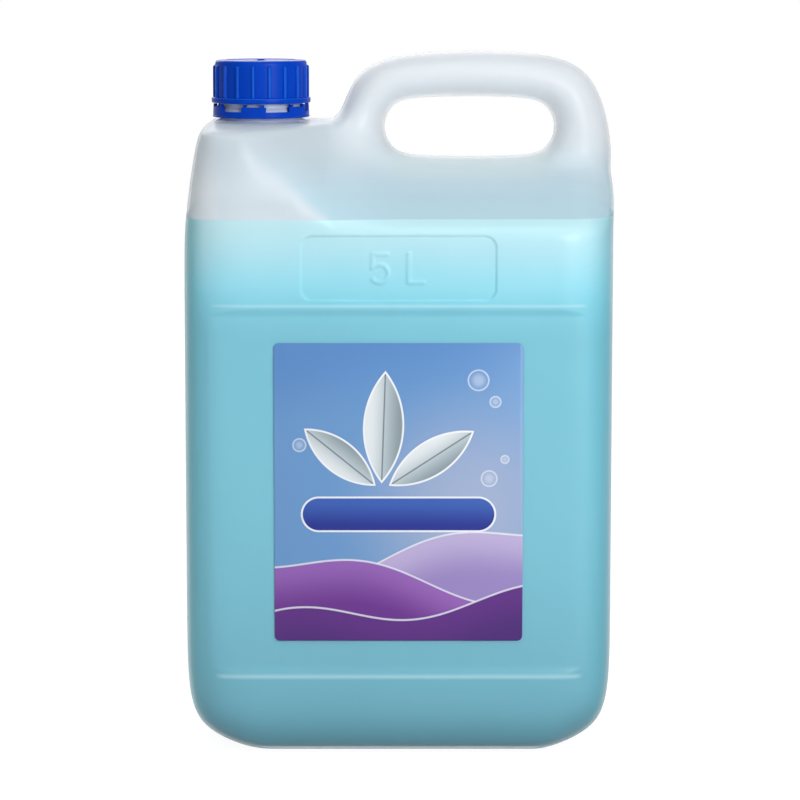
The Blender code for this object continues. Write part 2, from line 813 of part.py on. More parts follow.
def cap_radius_at(step, radius):
    """The skirt's radius at one of the four points of each rib's pitch: two on the rib, two on the panel."""
    return radius + CAP_RIB_PROUD if step % 4 in (0, 1) else radius


def cap_angle_at(step):
    """The angle of one of the four points of each rib's pitch."""
    pitch = math.tau / CAP_RIB_COUNT
    half_rib = CAP_RIB_ANGLE / 2
    offsets = (-half_rib, half_rib, half_rib + CAP_RIB_FLANK, pitch - half_rib - CAP_RIB_FLANK)
    return (step // 4) * pitch + offsets[step % 4] - math.pi / 2 + BAND_TURN


def cap_ring(radius, z, ribbed):
    """A ring of the cap's outside at one height."""
    ring = []
    for step in range(4 * CAP_RIB_COUNT):
        reach = cap_radius_at(step, radius) if ribbed else radius
        angle = cap_angle_at(step)
        ring.append((NECK_X + reach * math.cos(angle), reach * math.sin(angle), z))
    return ring


def make_cap():
    """The screw cap: a flange, a ribbed skirt and a rounded top, hollow below, with a gate mark."""
    bore = cap_bore()
    skin = bore + CAP_WALL - CAP_RIB_PROUD
    ceiling = cap_ceiling()
    top = ceiling + CAP_TOP
    foot = top - CAP_HEIGHT
    flange_top = foot + FLANGE_HEIGHT
    flange = skin + CAP_RIB_PROUD + FLANGE_PROUD
    rib_top = top - CAP_ROUNDING - CAP_RIB_END
    rings = [
        cap_ring(bore, ceiling, False),
        cap_ring(bore, foot + CAP_LEAD_IN, False),
        cap_ring(bore + CAP_LEAD_IN, foot, False),
        cap_ring(flange - CAP_EDGE, foot, False),
        cap_ring(flange, foot + CAP_EDGE, False),
        cap_ring(flange, flange_top - CAP_EDGE, False),
        cap_ring(flange - CAP_EDGE, flange_top, False),
        cap_ring(skin, flange_top, True),
        cap_ring(skin, rib_top, True),
    ]
    for step in range(CAP_ROUNDING_STEPS + 1):
        angle = step / CAP_ROUNDING_STEPS * math.pi / 2
        drop = CAP_ROUNDING * (1 - math.sin(angle))
        rings.append(cap_ring(skin - CAP_ROUNDING * (1 - math.cos(angle)), top - drop, False))
    cap = loft_between("screw_cap", rings)
    boolean(cap, gate_mark(top), "UNION")
    place_on_neck_axis(cap)
    shade_round(cap)
    cap.data.materials.clear()
    cap.data.materials.append(make_material("cap_blue", (0.0, 0.05, 0.46), 0.30))


def gate_mark(top):
    """The small nub that moulding leaves in the middle of the cap's top."""
    profile = [
        (0.0, top - CAP_TOP / 2),
        (GATE_RADIUS, top - CAP_TOP / 2),
        (GATE_RADIUS, top + GATE_EDGE),
        (GATE_TIP_RADIUS, top + GATE_HEIGHT),
        (0.0, top + GATE_HEIGHT),
    ]
    return revolve("gate_mark", profile, 20)


def place_on_neck_axis(obj):
    """Moves an object's origin onto the neck's axis, with its shape where it was."""
    obj.data.transform(Matrix.Translation((-NECK_X, 0.0, 0.0)))
    obj.location = Vector((NECK_X, 0.0, 0.0))


def make_wad():
    """The foam disc that the cap presses on the neck's rim."""
    low = neck_rim() + FIT
    radius = cap_bore() - FIT
    profile = [(0.0, low), (radius, low), (radius, low + WAD_HEIGHT), (0.0, low + WAD_HEIGHT)]
    wad = revolve("cap_liner", profile)
    place_on_neck_axis(wad)
    shade_round(wad)
    wad.data.materials.append(make_material("foam_wad", (0.85, 0.85, 0.84), 0.9))


def band_heights():
    """The tamper band's levels: window sill, tab top and the end of its bridges."""
    cap_foot = cap_ceiling() + CAP_TOP - CAP_HEIGHT
    tab_top = cap_foot - BRIDGE_HEIGHT
    return [tab_top - BAND_TAB, tab_top, cap_foot - FIT]


def band_foot():
    """Height of the tamper band's lower edge."""
    return band_heights()[0] - BAND_FOOT


def band_lip_top():
    """How far the band's inner lip reaches up from its lower edge."""
    return BAND_LIP_HEIGHT + BAND_LIP_SLOPE


def band_steps():
    """Angles round the band, and the levels on each: none in a window, 1 on a tab and 2 at a bridge."""
    pitch = math.tau / BAND_TABS
    half_tab = pitch / 4
    inner = BRIDGE_SPREAD - BRIDGE_ANGLE / 2
    outer = BRIDGE_SPREAD + BRIDGE_ANGLE / 2
    cuts = [
        (-half_tab, 1),
        (-outer, 2),
        (-inner, 1),
        (0.0, 1),
        (inner, 2),
        (outer, 1),
        (half_tab, 0),
        (half_tab + pitch / 6, 0),
        (half_tab + pitch / 3, 0),
    ]
    start = BAND_TURN - math.pi / 2
    return [(start + tab * pitch + angle, levels) for tab in range(BAND_TABS) for angle, levels in cuts]


def band_body(foot_profile, heights, steps):
    """The band: a turned foot, and over it the tabs and bridges that stand on some of its steps."""
    bm = bmesh.new()
    count = len(steps)
    inner = foot_profile[0][0]
    outer = foot_profile[-1][0]
    corners = {}

    def corner(step, radius, height):
        key = (step % count, round(radius, 7), round(height, 7))
        if key not in corners:
            angle = steps[step % count][0]
            spot = (NECK_X + radius * math.cos(angle), radius * math.sin(angle), height)
            corners[key] = bm.verts.new(spot)
        return corners[key]

    def wall(step, lower, upper):
        spots = ((step, lower), (step + 1, lower), (step + 1, upper), (step, upper))
        bm.faces.new([corner(place, *spot) for place, spot in spots])

    for step, (angle, levels) in enumerate(steps):
        before = steps[step - 1][1]
        for lower, upper in zip(foot_profile, foot_profile[1:]):
            wall(step, lower, upper)
        for level in range(levels):
            for radius in (inner, outer):
                wall(step, (radius, heights[level]), (radius, heights[level + 1]))
        wall(step, (inner, heights[levels]), (outer, heights[levels]))
        for level in range(min(levels, before), max(levels, before)):
            lower = heights[level]
            upper = heights[level + 1]
            ring = ((inner, lower), (outer, lower), (outer, upper), (inner, upper))
            bm.faces.new([corner(step, *spot) for spot in ring])
    return object_from_bmesh("tamper_band", bm)


def make_band():
    """The tamper band: a castellated ring round the neck's bead, with a lip that keeps it there."""
    inner = BEAD_RADIUS + FIT
    outer = cap_bore() + CAP_WALL
    heights = band_heights()
    foot = band_foot()
    foot_profile = [
        (inner, heights[0]),
        (inner, foot + band_lip_top()),
        (inner - BAND_LIP, foot + BAND_LIP_HEIGHT),
        (inner - BAND_LIP, foot),
        (outer - BAND_BEAD, foot),
        (outer + BAND_BEAD, foot + BAND_BEAD),
        (outer + BAND_BEAD, foot + BAND_BEAD + BAND_BEAD_FACE),
        (outer, foot + 2 * BAND_BEAD + BAND_BEAD_FACE),
        (outer, heights[0]),
    ]
    band = band_body(foot_profile, heights, band_steps())
    place_on_neck_axis(band)
    shade_round(band)
    band.data.materials.append(make_material("band_blue", (0.0, 0.06, 0.50), 0.30))


def main():
    """Builds the whole refill."""
    clear_scene()
    make_bottle()
    make_liquid()
    make_label()
    make_cap()
    make_wad()
    make_band()


main()
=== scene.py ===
"""Dresses a packed five-litre hand wash refill: see-through can, liquid, label, screw cap and tamper band.

Run as a script in Blender 4.5. The front of the can faces -Y, X runs to the right and Z is up.
"""

import math

import bmesh
import bpy
from bpy.props import FloatProperty, FloatVectorProperty, IntProperty, PointerProperty
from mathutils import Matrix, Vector


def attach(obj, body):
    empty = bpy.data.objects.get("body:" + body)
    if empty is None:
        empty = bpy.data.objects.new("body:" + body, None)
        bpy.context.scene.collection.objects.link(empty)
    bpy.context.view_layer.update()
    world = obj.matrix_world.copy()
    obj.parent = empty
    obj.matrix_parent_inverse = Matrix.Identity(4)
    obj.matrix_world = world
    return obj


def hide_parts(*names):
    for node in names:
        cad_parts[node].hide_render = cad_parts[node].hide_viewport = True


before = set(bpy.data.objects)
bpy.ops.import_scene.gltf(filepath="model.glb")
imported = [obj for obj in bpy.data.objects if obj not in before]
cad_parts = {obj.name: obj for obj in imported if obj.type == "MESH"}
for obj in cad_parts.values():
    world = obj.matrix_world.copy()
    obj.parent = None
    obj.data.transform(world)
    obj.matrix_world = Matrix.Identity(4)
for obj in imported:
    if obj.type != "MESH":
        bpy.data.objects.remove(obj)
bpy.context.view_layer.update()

bl_info = {
    "name": "Hand Wash Refill Can",
    "version": (1, 0, 0),
    "blender": (4, 5, 0),
    "location": "3D View > Sidebar > Refill Can",
    "description": "Builds a see-through refill can with its liquid, label, screw cap and tamper band",
    "category": "Object",
}

# The can's cage, in metres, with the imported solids' own sizes
BODY_WIDTH = 0.181
BODY_DEPTH = 0.134
CORNER_RUN = 0.018
CORNER_NEAR = 0.3
CORNER_TIGHT = 0.45
CORNER_FAR = 1.25
BASE_RUN = 0.0265
BASE_END = 1.08
BASE_CORNER_UP = 0.25
BASE_CORNER_IN = 0.17
BODY_ROW = 2.1
SHOULDER_HEIGHT = 0.2648
SHOULDER_RUN = 0.010
SHOULDER_TUCK = 0.001
SHOULDER_TAPER = 0.0070
SHOULDER_ROW = 0.8
TAPER_POWER = 1.6
TAPER_START = 0.2100
FOOT_DEPTH = 0.0015
CREASE_HEIGHT = 0.2240
SLOPE_RISE = 0.0225
SLOPE_TURN = math.radians(44)
SLOPE_START_X = -0.0420
SLOPE_START_RISE = 0.0185
SLOPE_ROWS = (0.3, 0.76)
CREASE_ROW = 0.007
PANEL_ROW = 0.006
TOTAL_HEIGHT = 0.2935
HANDLE_DEPTH = 0.034
HANDLE_LEFT = -0.0266
HANDLE_RIGHT = 0.0896
HANDLE_LEFT_RADIUS = 0.0346
HANDLE_RIGHT_RADIUS = 0.0356
HANDLE_FOOT_FILLET = 0.0024
HANDLE_FOOT_DROP = 0.003
POST_SHIFT = 0.001
POST_SWELL = 0.0012
HANDLE_CROWN = 0.0009
HANDLE_FLAT = 0.18
HANDLE_EDGE = 0.24
SILL_EDGE = 0.17
GRIP_LEFT = -0.0058
GRIP_RIGHT = 0.0663
GRIP_BOTTOM = 0.2490
GRIP_TOP = 0.2746
ARC_SWELL = 3 / (2 + math.cos(math.pi / 4))
FOOT_COLUMN = 5
POST_COLUMN = 10


# The can's form: a cage of points over the front view, mirrored to the back and smoothed


def half_depth(x, z):
    """Half the depth of the can's cage over a point of its front view."""
    past_level = z - CREASE_HEIGHT
    start_z = CREASE_HEIGHT + SLOPE_START_RISE
    past_diagonal = (x - SLOPE_START_X) * math.sin(SLOPE_TURN) + (z - start_z) * math.cos(SLOPE_TURN)
    share = min(max(min(past_level, past_diagonal) / SLOPE_RISE, 0.0), 1.0)
    return BODY_DEPTH / 2 + (HANDLE_DEPTH - BODY_DEPTH) / 2 * share


def side_reach(z):
    """How far the can's left side reaches from its middle plane at a height."""
    share = max(z - TAPER_START, 0.0) / (SHOULDER_HEIGHT - TAPER_START)
    return BODY_WIDTH / 2 - SHOULDER_TAPER * share**TAPER_POWER


def post_reach(z):
    """How far the can's right side and the handle's post over it reach at a height."""
    if z <= CREASE_HEIGHT:
        return BODY_WIDTH / 2
    share = (z - CREASE_HEIGHT) / (GRIP_TOP - CREASE_HEIGHT)
    return BODY_WIDTH / 2 + (HANDLE_RIGHT - BODY_WIDTH / 2) * share + POST_SWELL


def toward(start, end, share):
    """The point a share of the way from one front-view point to another."""
    return tuple(a + (b - a) * share for a, b in zip(start, end))


def beyond(outline, inner):
    """The middle plane's cage point whose smoothed surface passes through a point of the outline."""
    return toward(outline, inner, -0.5)


def grip_loop():
    """The outline of the handle's opening: ten cage points (x, z) from its left end, clockwise."""
    radius = (GRIP_TOP - GRIP_BOTTOM) / 2
    middle = (GRIP_TOP + GRIP_BOTTOM) / 2
    swell = ARC_SWELL * radius
    slant = swell * math.sin(math.pi / 4)
    left = GRIP_LEFT + radius
    right = GRIP_RIGHT - radius
    return [
        (left - swell, middle),
        (left - slant, middle + slant),
        (left, middle + radius),
        (right, middle + radius),
        (right + slant, middle + slant),
        (right + swell, middle),
        (right + slant, middle - slant),
        (right, middle - radius),
        (left, middle - radius),
        (left - slant, middle - slant),
    ]


def arch_outline():
    """The outline over the handle: six cage points (x, z) from its foot on the shoulder to its outer post."""
    left = HANDLE_LEFT + HANDLE_LEFT_RADIUS
    right = HANDLE_RIGHT - HANDLE_RIGHT_RADIUS
    slant_left = HANDLE_LEFT_RADIUS * ARC_SWELL * math.sin(math.pi / 4)
    slant_right = HANDLE_RIGHT_RADIUS * ARC_SWELL * math.sin(math.pi / 4)
    top = TOTAL_HEIGHT + HANDLE_CROWN
    return [
        (HANDLE_LEFT + HANDLE_FOOT_FILLET, SHOULDER_HEIGHT + HANDLE_FOOT_FILLET),
        (left - slant_left, TOTAL_HEIGHT - HANDLE_LEFT_RADIUS + slant_left),
        (left - HANDLE_FLAT * HANDLE_LEFT_RADIUS, top),
        (right + HANDLE_FLAT * HANDLE_RIGHT_RADIUS, top),
        (right + slant_right + HANDLE_CROWN, top - HANDLE_RIGHT_RADIUS + slant_right),
        (HANDLE_RIGHT + HANDLE_CROWN, (GRIP_TOP + GRIP_BOTTOM) / 2),
    ]


def sheet_columns():
    """X of the cage's columns, from the left. Three follow the crease, where the solids have one."""
    grip = grip_loop()
    edge = BODY_WIDTH / 2 - CORNER_RUN
    start_z = CREASE_HEIGHT + SLOPE_START_RISE
    crease = [SLOPE_START_X - (z - start_z) / math.tan(SLOPE_TURN) for z in reversed(sheet_rows()[5:])]
    opening = [grip[spot][0] for spot in (9, 8, 7, 6)]
    return [-edge, NECK_X, *crease, HANDLE_LEFT, *opening, edge]


def sheet_rows():
    """Z of the cage's rows, from the foot of the front to the foot of the handle."""
    slope = [CREASE_HEIGHT + share * SLOPE_RISE for share in (0.0, *SLOPE_ROWS, 1.0)]
    return [BASE_RUN, BODY_ROW * BASE_RUN, PANEL_TOP + PANEL_ROW, CREASE_HEIGHT - CREASE_ROW, *slope]


def shoulder_row_height():
    """Z of the cage's topmost row on the left, just under the shoulder."""
    return SHOULDER_HEIGHT - SHOULDER_ROW * SHOULDER_RUN


class Cage:
    """A cage of named points on the front half, its faces, and their mirror images on the back."""

    def __init__(self):
        self.points = {}
        self.faces = []

    def add(self, key, x, y, z):
        """Names a point. Those on the middle plane are shared by both halves."""
        self.points[key] = (x, y, z)

    def face(self, *keys):
        """Adds a face by its points' names."""
        self.faces.append(keys)

    def to_object(self, name):
        """Both halves as one closed object."""
        bm = bmesh.new()
        front = {key: bm.verts.new(point) for key, point in self.points.items()}
        back = {}
        for key, (x, y, z) in self.points.items():
            back[key] = front[key] if abs(y) < 1e-9 else bm.verts.new((x, -y, z))
        for keys in self.faces:
            bm.faces.new([front[key] for key in keys])
            bm.faces.new([back[key] for key in reversed(keys)])
        bmesh.ops.recalc_face_normals(bm, faces=bm.faces)
        return helper_object(name, bm)


def sheet_key(column, row):
    """The name of a grid point. Those of the top row under the opening are the opening's own."""
    if row == 7 and FOOT_COLUMN < column < POST_COLUMN:
        return ("grip", POST_COLUMN + 5 - column)
    return ("sheet", column, row)


def add_front_sheet(cage):
    """The cage's grid over the front and the slope."""
    columns = sheet_columns()
    rows = sheet_rows()
    grip = grip_loop()
    for i, x in enumerate(columns):
        for j, z in enumerate(rows[:7]):
            cage.add(("sheet", i, j), x, -half_depth(x, z), z)
    shoulder_row = shoulder_row_height()
    for i in range(FOOT_COLUMN):
        cage.add(("sheet", i, 7), columns[i], -half_depth(columns[i], shoulder_row), shoulder_row)
    foot_z = shoulder_row - HANDLE_FOOT_DROP
    cage.add(("sheet", FOOT_COLUMN, 7), HANDLE_LEFT, -half_depth(HANDLE_LEFT, foot_z), foot_z)
    post_x = (grip[6][0] + post_reach(rows[7])) / 2 + POST_SHIFT
    cage.add(("sheet", POST_COLUMN, 7), post_x, -half_depth(post_x, rows[7]), rows[7])
    for i in range(POST_COLUMN):
        for j in range(7):
            cage.face(sheet_key(i, j), sheet_key(i + 1, j), sheet_key(i + 1, j + 1), sheet_key(i, j + 1))


def add_handle(cage):
    """The handle's arch over its opening, and the opening's own wall."""
    grip = grip_loop()
    arch = arch_outline()
    half = HANDLE_DEPTH / 2
    for spot, outline in enumerate(grip):
        if spot < 6:
            inner = toward(outline, arch[spot], HANDLE_EDGE)
        else:
            inner = toward(outline, (outline[0], CREASE_HEIGHT), SILL_EDGE)
        edge = beyond(outline, inner)
        cage.add(("grip_wall", spot), edge[0], 0.0, edge[1])
        cage.add(("grip", spot), inner[0], -half, inner[1])
    for spot, outline in enumerate(arch):
        inner = toward(outline, grip[spot], HANDLE_EDGE)
        edge = beyond(outline, inner)
        cage.add(("arch", spot), inner[0], -half, inner[1])
        cage.add(("arch_edge", spot), edge[0], 0.0, edge[1])
    for spot in range(10):
        after = (spot + 1) % 10
        cage.face(("grip_wall", spot), ("grip_wall", after), ("grip", after), ("grip", spot))
    for spot in range(5):
        cage.face(("grip", spot), ("grip", spot + 1), ("arch", spot + 1), ("arch", spot))
        cage.face(("arch", spot), ("arch", spot + 1), ("arch_edge", spot + 1), ("arch_edge", spot))


def rim_stations():
    """Round the can's outline: each station has its sheet point, if any, its (x, z) and its rounding."""
    columns = sheet_columns()
    rows = sheet_rows()
    half_width = BODY_WIDTH / 2
    pull = (half_width - BASE_END * BASE_RUN) / (half_width - CORNER_RUN)
    low = BASE_CORNER_UP * BASE_RUN
    low_x = half_width - BASE_CORNER_IN * BASE_RUN
    high_x = side_reach(SHOULDER_HEIGHT) - SHOULDER_TUCK
    stations = [(("sheet", i, 0), (x * pull, -FOOT_DEPTH), CORNER_RUN) for i, x in enumerate(columns)]
    stations += [(None, (low_x, low), CORNER_RUN)]
    stations += [(("sheet", POST_COLUMN, j), (post_reach(z), z), CORNER_RUN) for j, z in enumerate(rows)]
    for i in reversed(range(FOOT_COLUMN)):
        stations += [(("sheet", i, 7), (columns[i], SHOULDER_HEIGHT), SHOULDER_RUN)]
    stations += [(None, (-high_x, SHOULDER_HEIGHT), SHOULDER_RUN)]
    for j, z in reversed(list(enumerate(rows[:7] + [shoulder_row_height()]))):
        stations += [(("sheet", 0, j), (-side_reach(z), z), CORNER_RUN)]
    stations += [(None, (-low_x, low), CORNER_RUN)]
    return stations


def add_rim(cage):
    """Three rings of points that round the front over to the middle plane, all along the outline."""
    stations = rim_stations()
    count = len(stations)
    last_right = len(sheet_columns()) + len(sheet_rows())
    first_top = last_right + 1
    for here, (key, (x, z), run) in enumerate(stations):
        corner = key is None
        if corner:
            key = stations[here - 1][0]
        sheet = cage.points[key]
        depth = -sheet[1]
        run = min(run, 0.5 * depth)
        pull = CORNER_TIGHT if corner else CORNER_NEAR
        inset = toward((x, z), (sheet[0], sheet[2]), pull)
        cage.add(("near", here), inset[0], -(depth - pull * run), inset[1])
        cage.add(("far", here), x, -(depth - (CORNER_FAR if corner else 1.0) * run), z)
        edge = beyond((x, z), inset) if here == last_right else (x, z)
        cage.add(("edge", here), edge[0], 0.0, edge[1])
    for here, (key, spot, run) in enumerate(stations):
        after = (here + 1) % count
        if here == last_right:
            continue
        if here == last_right - 1:
            cage.face(("near", here), ("far", here), ("edge", here), ("edge", after), ("near", after))
        else:
            cage.face(("far", here), ("edge", here), ("edge", after), ("far", after))
            cage.face(("near", here), ("far", here), ("far", after), ("near", after))
        next_key = stations[after][0]
        if key is not None and next_key is not None and key != next_key:
            cage.face(key, ("near", here), ("near", after), next_key)
        elif key is None:
            corner_key = stations[here - 1][0]
            cage.face(corner_key, ("near", here - 1), ("near", here), ("near", after))
    cage.points.pop(("far", last_right))
    post = stations[last_right][0]
    cage.face(("near", last_right), ("edge", last_right), ("arch_edge", 5), ("arch", 5))
    cage.face(("grip", 6), post, ("near", last_right), ("arch", 5), ("grip", 5))
    foot = stations[first_top][0]
    cage.face(("arch", 0), ("arch_edge", 0), ("edge", first_top), ("far", first_top), ("near", first_top))
    cage.face(foot, ("sheet", FOOT_COLUMN, 7), ("arch", 0), ("near", first_top))
    cage.face(("sheet", FOOT_COLUMN, 7), ("grip", 9), ("grip", 0), ("arch", 0))


# Measures of the pieces that the scene adds or refines, in metres

PANEL_BOTTOM = 0.0350
PANEL_TOP = 0.1910
PANEL_DEPTH = 0.0016
PANEL_FOOT = 0.0060
PANEL_LEDGE = 0.0042
PANEL_BLEND = 0.0009
MARK_WIDTH = 0.0803
MARK_HEIGHT = 0.0264
MARK_MIDDLE = 0.2072
MARK_RADIUS = 0.0048
MARK_DEPTH = 0.0008
MARK_EDGE = 0.0010
GLYPH_HEIGHT = 0.0117
GLYPH_STROKE = 0.00085
GLYPH_PROUD = 0.00055
GLYPH_EDGE = 0.00045
GRID = 0.00045
FLAT_REACH = 0.052
FACE_REACH = 0.062
MARK_MARGIN = 0.010
FRAME_X = (0.0762, 0.0826)
FRAME_GAP = 0.0007
FRAME_MARGIN = 0.004
FRAME_SIDE = 0.070
LEDGE_GAPS = (0.0006, 0.0015)
FOOT_GAPS = (0.0009, 0.0020)
DETAIL_TOP = 0.230
FOOT_RIM = 0.034
FOOT_PUSH = 0.0020
FOOT_DRAFT = 0.0020
SEAM_HALF = 0.00035
SEAM_ZONE = 0.012
SKIN_SETBACK = 0.00016
SMOOTH_TURN = math.radians(35)
NECK_X = -0.0587
NECK_RADIUS = 0.0174
NECK_BORE = 0.0154
NECK_RIM = 0.2867
NECK_ROOT = 0.2608
BEAD_FOOT = 0.26742
BEAD_TOP = 0.26902
BEAD_RADIUS = 0.0187
NECK_STEPS = 128
FIT = 0.0003
FILL_HEIGHT = 0.2268
LABEL_WIDTH = 0.103
LABEL_HEIGHT = 0.1248
LABEL_MIDDLE = 0.1138
LABEL_RADIUS = 0.0022
LABEL_THICKNESS = 0.0003
LABEL_EASE = 0.00008
CAP_FOOT = 0.2721
CAP_TOP = 0.2901
CAP_CEILING = 0.2885
CAP_BORE = 0.0190
CAP_PANEL = 0.0197
CAP_RIB = 0.0205
CAP_FLANGE = 0.0211
CAP_FLANGE_TOP = 0.2743
CAP_ROUNDING = 0.0014
CAP_RIBS = 18
RIB_TOP = 0.2881
RIB_HALF = math.radians(1.7)
RIB_FLANK = math.radians(1.3)
CAP_TURN = math.radians(-7.4) - math.pi / 2
THREAD_PITCH = 0.0040
THREAD_TURNS = 1.9
NECK_THREAD_START = 0.2748
CAP_THREAD_START = 0.2768
THREAD_RISE = 0.0010
THREAD_ROOT = 0.0009
THREAD_CREST = 0.0003
THREAD_SUNK = 0.00015
THREAD_SETBACK = 0.0001
THREAD_END = 0.07
THREAD_STEPS = 72
BAND_FOOT = 0.2660
BAND_SILL = 0.2686
BAND_TAB_TOP = 0.2707
BAND_BRIDGE_TOP = 0.2718
BAND_BORE = 0.0190
BAND_SKIN = 0.0205
BAND_TABS = 6
BAND_LIP = 0.0007
BAND_STEPS = 360
BRIDGE_ANGLE = math.radians(4)
BRIDGE_SPREAD = math.radians(11)
WAD_FOOT = 0.2870
WAD_TOP = 0.2882
WAD_RADIUS = 0.0187
WAD_EDGE = 0.00015
WAD_STEPS = 96


def steady(colour):
    """An 8-bit screen colour as the linear values that a shader takes."""
    return tuple((c / 255 / 12.92) if c < 10.3 else ((c / 255 + 0.055) / 1.055) ** 2.4 for c in colour)


def tint(name, description, colour):
    """A colour setting with an 8-bit screen colour as its default."""
    return FloatVectorProperty(name=name, description=description, subtype="COLOR", default=steady(colour))


class RefillSizes(bpy.types.PropertyGroup):
    """Sizes of the refill that a user would change."""

    wall: FloatProperty(
        name="Wall", description="Thickness of the can's wall", default=0.0012, unit="LENGTH"
    )
    seam: FloatProperty(
        name="Seam", description="How far the parting line stands out", default=0.00010, unit="LENGTH"
    )
    fineness: IntProperty(
        name="Fineness", description="Subdivision level of the can", default=3, min=2, max=4
    )
    cap_steps: IntProperty(
        name="Cap steps", description="Steps round the cap", default=720, min=180, max=720
    )


class RefillColours(bpy.types.PropertyGroup):
    """Colours of the refill that a user would change."""

    dry_wall: tint("Empty wall", "The can's plastic over air", (220, 232, 240))
    wet_wall: tint("Filled wall", "The plastic over the liquid", (138, 213, 231))
    # Painted light: the next two colours lighten the filled wall towards the liquid's level
    lit_brim: tint("Liquid's brim", "The plastic at the level", (208, 248, 255))
    lit_upper_fill: tint("Upper fill", "The plastic over the upper liquid", (156, 236, 253))
    # Painted shade: the filled wall darkens to this colour towards the foot
    wet_foot_shade: tint("Filled foot", "The plastic near the foot", (122, 188, 206))
    liquid: tint("Hand wash", "The liquid's own colour", (120, 200, 218))
    # Painted shade: the liquid darkens to this colour towards the foot
    liquid_foot_shade: tint("Deep hand wash", "The liquid near the foot", (92, 168, 188))
    cap: tint("Cap", "The cap and its band", (0, 64, 187))
    label_sky: tint("Label blue", "The label's ground", (104, 150, 200))
    label_violet: tint("Label violet", "The label's hills", (104, 46, 138))
    label_silver: tint("Label silver", "The label's leaves", (176, 190, 196))
    label_navy: tint("Label navy", "The label's title bar", (26, 42, 138))


# Building blocks


def helper_object(name, bm):
    """Makes an object of a bmesh, and frees the bmesh."""
    mesh = bpy.data.meshes.new(name)
    bm.to_mesh(mesh)
    bm.free()
    obj = bpy.data.objects.new(name, mesh)
    bpy.context.scene.collection.objects.link(obj)
    return obj


def piece_from_bmesh(name, bm, material):
    """Makes a finished piece of a bmesh, smooth where its surface turns gently."""
    piece = helper_object(name, bm)
    piece.data.shade_smooth()
    piece.data.set_sharp_from_angle(angle=SMOOTH_TURN)
    piece.data.materials.clear()
    piece.data.materials.append(material)
    return piece


def evaluated_bmesh(obj):
    """An object's mesh with its modifiers, as a bmesh. The object is removed."""
    graph = bpy.context.evaluated_depsgraph_get()
    bm = bmesh.new()
    bm.from_object(obj, graph)
    bpy.data.objects.remove(obj, do_unlink=True)
    return bm


def combined(base, other, operation):
    """One bmesh joined to another, or cut by it."""
    obj = helper_object("whole", base)
    tool = helper_object("tool", other)
    modifier = obj.modifiers.new("Combine", "BOOLEAN")
    modifier.operation = operation
    modifier.object = tool
    modifier.solver = "EXACT"
    bm = evaluated_bmesh(obj)
    bpy.data.objects.remove(tool, do_unlink=True)
    return bm


def turned(profile, steps, closed=True):
    """A bmesh of a profile of (radius, height) points, turned about the neck's axis."""
    bm = bmesh.new()
    points = [bm.verts.new((NECK_X + radius, 0.0, height)) for radius, height in profile]
    edges = [bm.edges.new(pair) for pair in zip(points, points[1:])]
    if closed:
        edges.append(bm.edges.new((points[-1], points[0])))
    bmesh.ops.spin(
        bm,
        geom=points + edges,
        cent=(NECK_X, 0.0, 0.0),
        axis=(0.0, 0.0, 1.0),
        angle=math.tau,
        steps=steps,
        use_merge=True,
    )
    bmesh.ops.remove_doubles(bm, verts=bm.verts, dist=1e-6)
    bmesh.ops.recalc_face_normals(bm, faces=bm.faces)
    return bm


def arc_points(centre, radius, start, end, steps):
    """Points along an arc, with both ends, for a profile's rounding."""
    spread = [start + (end - start) * step / steps for step in range(steps + 1)]
    return [(centre[0] + radius * math.cos(a), centre[1] + radius * math.sin(a)) for a in spread]


def rounded_corners(width, height, radius, steps):
    """Points round a rounded rectangle about its middle, anticlockwise from its right side."""
    points = []
    for turn, (side_x, side_y) in enumerate(((1, 1), (-1, 1), (-1, -1), (1, -1))):
        centre = (side_x * (width / 2 - radius), side_y * (height / 2 - radius))
        start = turn * math.pi / 2
        points += arc_points(centre, radius, start, start + math.pi / 2, steps)
    return points


def from_axis(vert):
    """A point's level way out from the neck's axis."""
    return Vector((vert.co.x - NECK_X, vert.co.y))


def set_reach(vert, reach):
    """Moves a point straight out from the neck's axis to a distance."""
    offset = from_axis(vert).normalized() * reach
    vert.co.x = NECK_X + offset.x
    vert.co.y = offset.y


def eased(value, low, high):
    """0 below low, 1 above high, and a smooth rise between."""
    share = min(max((value - low) / (high - low), 0.0), 1.0)
    return share * share * (3 - 2 * share)


def soft_min(a, b, width):
    """The lower of two values, with a rounded crossing."""
    if width <= 0.0:
        return min(a, b)
    overlap = max(width - abs(a - b), 0.0) / width
    return min(a, b) - overlap * overlap * width / 4


def box_distance(x, z, width, height, radius):
    """Signed distance from a rounded rectangle's edge, negative inside."""
    over_x = abs(x) - width / 2 + radius
    over_z = abs(z) - height / 2 + radius
    outside = math.hypot(max(over_x, 0.0), max(over_z, 0.0))
    return outside + min(max(over_x, over_z), 0.0) - radius


def stroke_distance(x, z, stroke):
    """Distance from a line through points."""
    nearest = 1.0
    for (ax, az), (bx, bz) in zip(stroke, stroke[1:]):
        run_x, run_z = bx - ax, bz - az
        share = ((x - ax) * run_x + (z - az) * run_z) / (run_x * run_x + run_z * run_z)
        share = min(max(share, 0.0), 1.0)
        nearest = min(nearest, math.hypot(x - ax - share * run_x, z - az - share * run_z))
    return nearest


# The can


def smooth_form(level):
    """The can's form from its cage, subdivided, as a bmesh."""
    cage = Cage()
    add_handle(cage)
    add_front_sheet(cage)
    add_rim(cage)
    form = cage.to_object("form")
    smooth = form.modifiers.new("Smooth", "SUBSURF")
    smooth.levels = level
    smooth.render_levels = level
    bm = evaluated_bmesh(form)
    bmesh.ops.recalc_face_normals(bm, faces=bm.faces)
    return bm


def with_corners(faces):
    """Some faces with their edges and points, as a list."""
    geometry = set(faces)
    for face in faces:
        geometry.update(face.verts)
        geometry.update(face.edges)
    return list(geometry)


def faces_within(bm, **ranges):
    """The faces whose middles lie between two places on each named axis."""
    found = []
    for face in bm.faces:
        middle = face.calc_center_median()
        if all(low < getattr(middle, axis) < high for axis, (low, high) in ranges.items()):
            found.append(face)
    return found


